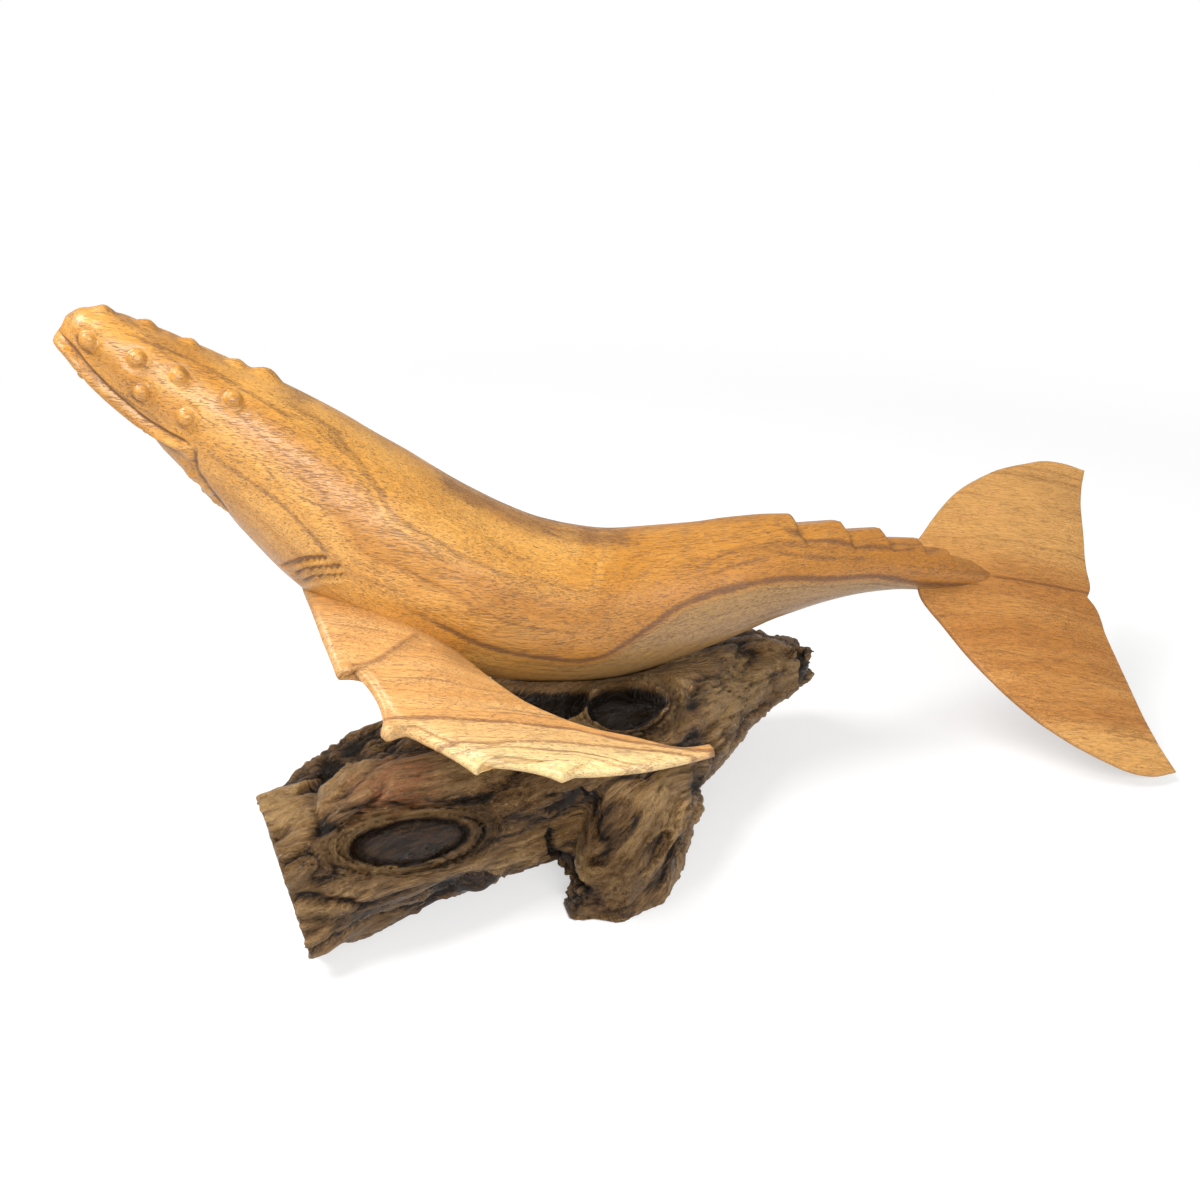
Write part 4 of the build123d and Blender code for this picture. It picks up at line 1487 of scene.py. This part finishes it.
@dataclass
class RootBase:
    """The gnarled root: a log with a leg, furrowed, knotted and sawn at its left end."""

    voxel: float = 0.85
    turn: float = 18.5
    middle: tuple = (-12.0, -20.0)
    sawn_normal: Triple = (-0.98, -0.137, -0.144)
    lump: float = 1.4
    ledge: float = 1.1
    furrow: float = 2.6
    thread: float = 1.0
    grit: float = 0.25
    seat_gap: float = 0.35
    undercut: float = 3.0
    # Points lower than this stay on the table
    sole: float = 0.7
    # Deepest relief at the table, and how much deeper it may be to a millimetre of height
    foot_limit: tuple = (0.6, 0.5)
    # Place, stand and radius of a lump that closes the seat beside the flipper
    seat_lump: tuple = ((-42.0, -13.5, 58.0), 2.0, 5.5)
    # Sizes of the noises' cells, along the furrows and across them
    lump_cell: Triple = (24.0, 24.0, 17.0)
    ledge_cell: Triple = (46.0, 13.0, 11.0)
    furrow_cell: Triple = (48.0, 11.0, 9.0)
    thread_cell: Triple = (19.0, 3.4, 3.0)
    grit_cell: Triple = (3.4, 1.7, 1.7)
    wrinkle_cell: Triple = (12.0, 2.6, 2.6)
    up_cell: Triple = (30.0, 40.0, 40.0)
    back_cell: Triple = (26.0, 40.0, 40.0)
    # How far the flow wanders, and how far it turns up the leg, in degrees
    wander: float = 3.5
    leg_turn: float = 42.0
    # Ledges to a unit of noise, and how sharp furrows and threads are
    ledges: float = 2.6
    furrow_power: int = 6
    thread_power: float = 2.5
    # Patches of reddish bark and pale wood: middle, stretch, and radius outside and inside
    red_patch: tuple = ((-84.0, -56.0, 52.0), (1.4, 1.2, 0.9), 15.0, 6.0)
    tan_patch: tuple = ((45.0, -20.0, 44.0), (1.4, 1.2, 0.8), 20.0, 8.0)
    # How many knots, from the first, the furrows circle
    circled: int = 2
    knots: tuple = (
        Knot((-80.0, -66.5, 36.0), (1.0, 0.02, -0.04), (0.0, -0.67, 0.74), 37.0, 13.5, 2.4, 3.4),
        Knot((0.0, -34.0, 54.0), (1.0, 0.0, 0.0), (0.0, -0.65, 0.75), 28.0, 19.0, 6.0, 0.0),
        # A sunk pit between the belly and the flipper, put where the belly's shadow falls: painted
        # shadow, dark through the crevices' near black
        Knot((-25.0, -30.0, 57.0), (1.0, 0.2, 0.0), (0.0, -0.6, 0.8), 27.0, 14.0, 5.0, 0.0),
        Knot((-103.0, -36.0, 42.0), (0.75, 0.5, 0.25), (-0.3, -0.65, 0.7), 21.0, 7.0, 3.0, 0.0),
        Knot((88.0, -2.0, 40.0), (0.3, 0.2, 1.0), (0.5, -0.75, 0.4), 15.0, 11.0, 3.0, 2.0),
        Knot((97.0, 6.0, 36.0), (0.3, 0.2, 1.0), (0.9, -0.4, 0.3), 9.0, 8.0, 4.0, 0.0),
        Knot((-29.0, -54.0, 35.0), (1.0, 0.2, 0.2), (-0.1, -0.9, 0.4), 15.0, 11.0, 4.5, 0.0),
        Knot((-2.0, -68.0, 18.0), (0.8, 0.1, 0.5), (0.0, -0.9, 0.4), 16.0, 7.0, 1.6, 0.0),
        Knot((-60.0, -62.0, 12.0), (1.0, 0.2, 0.1), (0.0, -0.9, -0.3), 15.0, 12.0, 1.2, 2.6),
    )
    # Cracks, each as its line in the front view and its depth
    cracks: tuple = (
        (((-33, 27), (-34, 20), (-30, 14), (-24, 9)), 3.6),
        (((-38, 42), (-26, 39), (-16, 33)), 2.6),
        (((-126, 30), (-112, 29), (-102, 26), (-92, 22)), 3.0),
        (((-120, 12), (-104, 14), (-88, 11), (-72, 9), (-60, 15)), 2.6),
        (((-112, 48), (-98, 44), (-84, 52)), 2.2),
        (((2, 14), (14, 22), (26, 26)), 2.4),
        (((24, 40), (32, 30), (30, 20)), 2.0),
        (((40, 52), (54, 40), (70, 44)), 2.0),
    )

    def remeshed(self, node: Piece) -> Piece:
        """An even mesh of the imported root, on which the furrows are cut.

        Args:
            node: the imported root.

        Returns:
            The new piece, plain.
        """
        rough = placed("root_rough", node.data.copy())
        weld = rough.modifiers.new("weld", "WELD")
        weld.merge_threshold = 0.02 * MM
        remesh = rough.modifiers.new("even", "REMESH")
        remesh.mode = "VOXEL"
        remesh.voxel_size = self.voxel * MM
        shaped = rough.evaluated_get(bpy.context.evaluated_depsgraph_get())
        even = bpy.data.meshes.new_from_object(shaped)
        bpy.data.objects.remove(rough)
        return placed("root_carving", even)

    def flow(self, points: Array) -> Array:
        """Places whose first part follows the furrows.

        On the log they run along it, on the leg they climb to the right, and round a knot
        they circle it: the place across them is blended to the distance from the knot.

        Args:
            points: the root's points, shape (n, 3).

        Returns:
            Places along, behind and across the furrows, shape (n, 3).
        """
        turn = math.radians(self.turn)
        x, y = points[:, 0] - self.middle[0], points[:, 1] - self.middle[1]
        along = x * math.cos(turn) + y * math.sin(turn)
        back = y * math.cos(turn) - x * math.sin(turn)
        up = points[:, 2]
        cells = np.stack([along, back, up], axis=-1) / self.up_cell
        up = up + self.wander * lattice_noise(cells, Seed.FLOW_UP)
        cells = np.stack([along, back, up], axis=-1) / self.back_cell
        back = back + self.wander * lattice_noise(cells, Seed.FLOW_BACK)
        leg = ease(-30, -42, back) * bell(along - 4, 30) * ease(46, 36, up)
        turned = leg * math.radians(self.leg_turn)
        first = along * np.cos(turned) + up * np.sin(turned)
        second = up * np.cos(turned) - along * np.sin(turned)
        for knot in self.knots[: self.circled]:
            distance, fade = knot.shares(points)
            beyond = bell(np.maximum(distance - 1.0, 0.0), 0.36)
            circle = beyond * ease(0.8, 1.05, distance) * fade
            second = second * (1 - circle) + distance * knot.width / 2 * circle
            back = back * (1 - circle)
        return np.stack([first, back, second], axis=-1)

    def relief(self, points: Array, flow: Array) -> Array:
        """How far each point is pushed out: lumps, ledges, furrows, threads, grit and cracks.

        A ledge is where a stretched noise passes a whole level: the noise is rounded down,
        with a steep rise between. A furrow or thread is where another crosses zero:
        -depth * (1 - |noise|)^power, lifted so that the wood between stays in place.

        Args:
            points: the root's points, shape (n, 3).
            flow: their places in the flow.

        Returns:
            Height at each point.
        """
        height = self.lump * layered_noise(points / self.lump_cell, Seed.LUMPS, 2)
        steps = self.ledges * layered_noise(flow / self.ledge_cell, Seed.LEDGES, 3)
        whole = np.floor(steps)
        height += self.ledge * (whole + ease(0.62, 0.95, steps - whole) - steps)
        wide = np.abs(layered_noise(flow / self.furrow_cell, Seed.FURROWS, 2))
        height -= self.furrow * np.clip(1 - wide, 0, 1) ** self.furrow_power - 0.4
        close = np.abs(layered_noise(flow / self.thread_cell, Seed.THREADS, 2))
        height -= self.thread * np.clip(1 - close, 0, 1) ** self.thread_power - 0.35
        height += self.grit * layered_noise(flow / self.grit_cell, Seed.GRIT, 2)
        sway = layered_noise(points / 5, Seed.CRACKS, 2)[:, None] * 0.8
        front = ease(-12, -22, points[:, 1])
        for corners, depth in self.cracks:
            beside, passed = beside_curve(points[:, [0, 2]] + sway, corners, 50)
            fade = between_ends(passed, 0.15, 0.85) * front
            height -= fade * depth * bell(beside, 1.0)
        return height

    def set_knots(self, points: Array, flow: Array, height: Array) -> tuple[Array, Array]:
        """The relief with a sunk or swollen plate, a groove and a lip at each knot.

        Args:
            points: the root's points, shape (n, 3).
            flow: their places in the flow.
            height: the relief without knots.

        Returns:
            The new relief, and the mask of the dark plates.
        """
        mask = np.zeros(len(points))
        rim = 0.06 * layered_noise(points / 4, Seed.KNOT_RIMS, 2)
        wrinkles = 1.1 * layered_noise(flow / self.wrinkle_cell, Seed.WRINKLES, 2)
        lip = 0.8 + 0.9 * lattice_noise(points / 7, Seed.KNOT_LIPS)
        for knot in self.knots:
            distance, fade = knot.shares(points)
            ragged = distance + rim
            inside = ease(1.04, 0.93, ragged) * fade
            plate = knot.swell * np.clip(1 - ragged**2, 0, 1) - knot.sink + wrinkles
            height = height * (1 - inside) + plate * inside
            height += fade * (lip * bell(ragged - 1.22, 0.13) - bell(ragged - 1.0, 0.08))
            mask = np.maximum(mask, inside * (knot.swell > 0))
        return height, mask

    def build(self, node: Piece, body: WhaleBody) -> Piece:
        """The root's surface, pushed in and out along its normals.

        Args:
            node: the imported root.
            body: the whale, whose belly the seat keeps clear of.

        Returns:
            The piece with its relief, flow and masks, without its material.
        """
        piece = self.remeshed(node)
        points = points_of(piece)
        flat = np.zeros(len(points) * 3, np.float32)
        piece.data.vertex_normals.foreach_get("vector", flat)
        normals = flat.reshape(-1, 3).astype(float)
        flow = self.flow(points)
        height, mask = self.set_knots(points, flow, self.relief(points, flow))
        sawn = ease(0.90, 0.985, normals @ np.array(self.sawn_normal))
        sawn = sawn * ease(-95, -105, points[:, 0])
        ripple = 0.12 * np.sin(points[:, 2] * 2.2)
        ripple = ripple + 0.2 * layered_noise(points / 3, Seed.SAW_MARKS, 2)
        height = height * (1 - sawn) + ripple * sawn
        height = self.clear_of_belly(points, height, body)
        place, stand, radius = self.seat_lump
        height += stand * bell(np.linalg.norm(points - place, axis=1), radius)
        least, slope = self.foot_limit
        height = np.maximum(height, -least - slope * points[:, 2])
        moved = points + normals * height[:, None]
        moved[:, 1] += self.undercut * self.under_front(points, flow)
        raised = np.maximum(moved[:, 2], 0.0)
        moved[:, 2] = np.where(points[:, 2] < self.sole, 0.0, raised)
        piece.data.vertices.foreach_set("co", (moved * MM).astype(np.float32).ravel())
        piece.data.shade_smooth()
        piece.data.update()
        paint(piece, {"relief": height - 0.6 * sawn, "flow": flow, "knot": mask})
        self.mark_patches(piece, points)
        return piece

    def under_front(self, points: Array, flow: Array) -> Array:
        """Share of the undercut: 1 at the foot of the log's front, 0 on the leg and above."""
        beside_leg = 1 - bell(points[:, 0] - 14, 34)
        return ease(-14, -24, flow[:, 1]) * beside_leg * ease(14, 0, points[:, 2])

    def clear_of_belly(self, points: Array, height: Array, body: WhaleBody) -> Array:
        """Height with nothing pushed into the whale where it sits.

        The distance from the belly is judged by the oval of half width and depth round the
        spine at the same X.

        Args:
            points: the root's points, shape (n, 3).
            height: the relief.
            body: the whale.

        Returns:
            The new relief.
        """
        spine = body.spine_rows()
        level, half, depth = (np.interp(points[:, 0], spine[:, 0], spine[:, k]) for k in (1, 2, 4))
        oval = np.hypot(points[:, 1] / half, (points[:, 2] - level) / depth)
        near = ease(1.16, 1.03, oval)
        height = np.maximum(height, -0.4 - 20 * ease(1.12, 1.32, oval))
        return height * (1 - near) + near * np.clip(height, -2 * self.seat_gap, -self.seat_gap)

    def mark_patches(self, piece: Piece, points: Array) -> None:
        """Masks of the reddish bark over the large knot and the pale patch at the right.

        Args:
            piece: the root.
            points: its points before the relief.
        """
        wave = 5 * layered_noise(points / 7, Seed.PATCHES, 3)
        for name, patch in (("red", self.red_patch), ("tan", self.tan_patch)):
            middle, stretch, outside, inside = patch
            gap = np.linalg.norm((points - middle) / stretch, axis=1)
            paint(piece, {name: ease(outside, inside, gap + wave)})


# Pegs and dowels


@dataclass
class Joinery:
    """The turned pegs and dowels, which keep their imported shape."""

    pegs: str = "mounting_pegs"
    dowels: tuple = ("left_flipper_dowels", "right_flipper_dowels", "tail_dowel")

    def dress(self, nodes: dict) -> None:
        """Gives every peg and dowel plain turned wood, with the grain along it.

        Args:
            nodes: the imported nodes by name.
        """
        material = DOWEL_WOOD.material()
        for name in (self.pegs, *self.dowels):
            piece = nodes[name]
            points = points_of(piece)
            turned = points[:, [2, 1, 0]] if name == self.pegs else points
            paint(piece, {"grain": turned, "growth": turned[:, 1]})
            paint(piece, {mask: np.zeros(len(points)) for mask in ("drawn", "sapwood", "amber_and_shade")})
            coat(piece, material)
            LOG.info("%s dressed", name)


# Floor, lamps and camera

WHITE: Color = (1.0, 1.0, 1.0, 1.0)


@dataclass
class Studio:
    """A pale floor under soft light, and the camera at the photograph's angle."""

    eye: Triple = (-0.1089, -0.3798, 0.2633)
    looking: Triple = (0.2498, 0.8712, -0.4226)
    lens: float = 36.0
    floor_size: float = 8.0
    floor_gray: float = 0.50
    floor_glow: float = 0.53
    # Distances from the middle between which the floor fades to plain white
    shadow_reach: tuple = (0.35, 0.8)
    world_strength: float = 0.36
    # Name and place of each lamp, the point that it faces, its two sizes and its watts
    lamps: tuple = (
        ("ceiling", (-0.58, 0.00, 0.96), (-0.04, 0.0, 0.10), (0.60, 0.60), 12.5),
        ("window", (-0.02, -0.80, 0.50), (-0.04, 0.0, 0.10), (0.85, 0.22), 6.4),
    )

    def camera(self) -> None:
        """The camera, set as the scene's own, with a sensor as wide as its lens is long."""
        data = bpy.data.cameras.new("photographer")
        data.sensor_width = self.lens
        data.lens = self.lens
        camera = placed("photographer", data)
        camera.location = self.eye
        camera.rotation_euler = Vector(self.looking).to_track_quat("-Z", "Y").to_euler()
        bpy.context.scene.camera = camera

    def floor(self) -> None:
        """A gray floor that shows white to the camera and keeps the whale's shadow."""
        half = self.floor_size / 2
        corners = [(-half, -half, 0), (half, -half, 0), (half, half, 0), (-half, half, 0)]
        mesh = bpy.data.meshes.new("floor")
        mesh.from_pydata(corners, [], [(0, 1, 2, 3)])
        floor = placed("floor", mesh)
        material = bpy.data.materials.new("floor_white")
        w = Wiring.fresh(material)
        ray = w.add("ShaderNodeLightPath").outputs
        seen = w.sum("MAXIMUM", ray["Is Camera Ray"], ray["Is Glossy Ray"])
        glow = w.sum("MULTIPLY", seen, self.floor_glow)
        gray = (self.floor_gray, self.floor_gray, self.floor_gray, 1.0)
        plain = {"Base Color": gray, "Roughness": 0.9, "Specular IOR Level": 0.0}
        diffuse = w.add("ShaderNodeBsdfPrincipled", plain)
        lift = w.add("ShaderNodeEmission", {"Color": WHITE, "Strength": glow})
        both = w.add("ShaderNodeAddShader", {0: diffuse.outputs[0], 1: lift.outputs[0]})
        place = w.add("ShaderNodeTexCoord").outputs["Object"]
        far = w.add("ShaderNodeVectorMath", {0: place}, operation="LENGTH").outputs["Value"]
        clear = w.sum("MULTIPLY", w.step(far, *self.shadow_reach), ray["Is Camera Ray"])
        bright = w.add("ShaderNodeEmission", {"Color": WHITE, "Strength": 1.0})
        shaders = {0: clear, 1: both.outputs[0], 2: bright.outputs[0]}
        surface = w.add("ShaderNodeMixShader", shaders)
        w.add("ShaderNodeOutputMaterial", {"Surface": surface.outputs[0]})
        coat(floor, material)

    def world(self) -> None:
        """Even light from all round, which the camera sees as white."""
        world = bpy.data.worlds.new("studio")
        bpy.context.scene.world = world
        w = Wiring.fresh(world)
        ray = w.add("ShaderNodeLightPath").outputs["Is Camera Ray"]
        strength = w.step(ray, 0.0, 1.0, self.world_strength, 1.0)
        light = w.add("ShaderNodeBackground", {"Color": WHITE, "Strength": strength})
        w.add("ShaderNodeOutputWorld", {"Surface": light.outputs[0]})

    def light(self) -> None:
        """The soft lamps."""
        for name, place, target, (width, height), watts in self.lamps:
            data = bpy.data.lights.new(name, "AREA")
            data.shape = "ELLIPSE"
            data.size, data.size_y = width, height
            data.energy = watts
            lamp = placed(name, data)
            lamp.location = place
            aim = Vector(target) - Vector(place)
            lamp.rotation_euler = aim.to_track_quat("-Z", "Y").to_euler()

    def build(self) -> None:
        """Sets up the whole studio."""
        self.camera()
        self.floor()
        self.world()
        self.light()
        bpy.context.scene.view_settings.view_transform = "Standard"


def stand_for(
    piece: Piece, node: str, body: str, material: bpy.types.Material
) -> None:
    """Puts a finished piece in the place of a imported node.

    Args:
        piece: the new piece.
        node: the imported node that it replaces.
        body: the body that it rides on.
        material: its finish.
    """
    coat(piece, material)
    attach(piece, body)
    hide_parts(node)
    LOG.info("%s: %d faces", piece.name, len(piece.data.polygons))


def main() -> None:
    """Builds the studio and every piece, and logs each new piece's face count."""
    logging.basicConfig(level=logging.INFO)
    Studio().build()
    body = WhaleBody()
    stand_for(body.build(), "whale_body", "whale", BODY_WOOD.material())
    flipper_wood = FLIPPER_WOOD.material()
    for side in Side:
        piece = Flipper(side).build()
        stand_for(piece, f"{side.name.lower()}_flipper", "whale", flipper_wood)
    stand_for(Flukes().build(), "tail_flukes", "whale", FLUKE_WOOD.material())
    root = RootBase().build(frame["nodes"]["root_base"], body)
    stand_for(root, "root_base", "base", RootFinish().material())
    Joinery().dress(frame["nodes"])


if __name__ == "__main__":
    main()
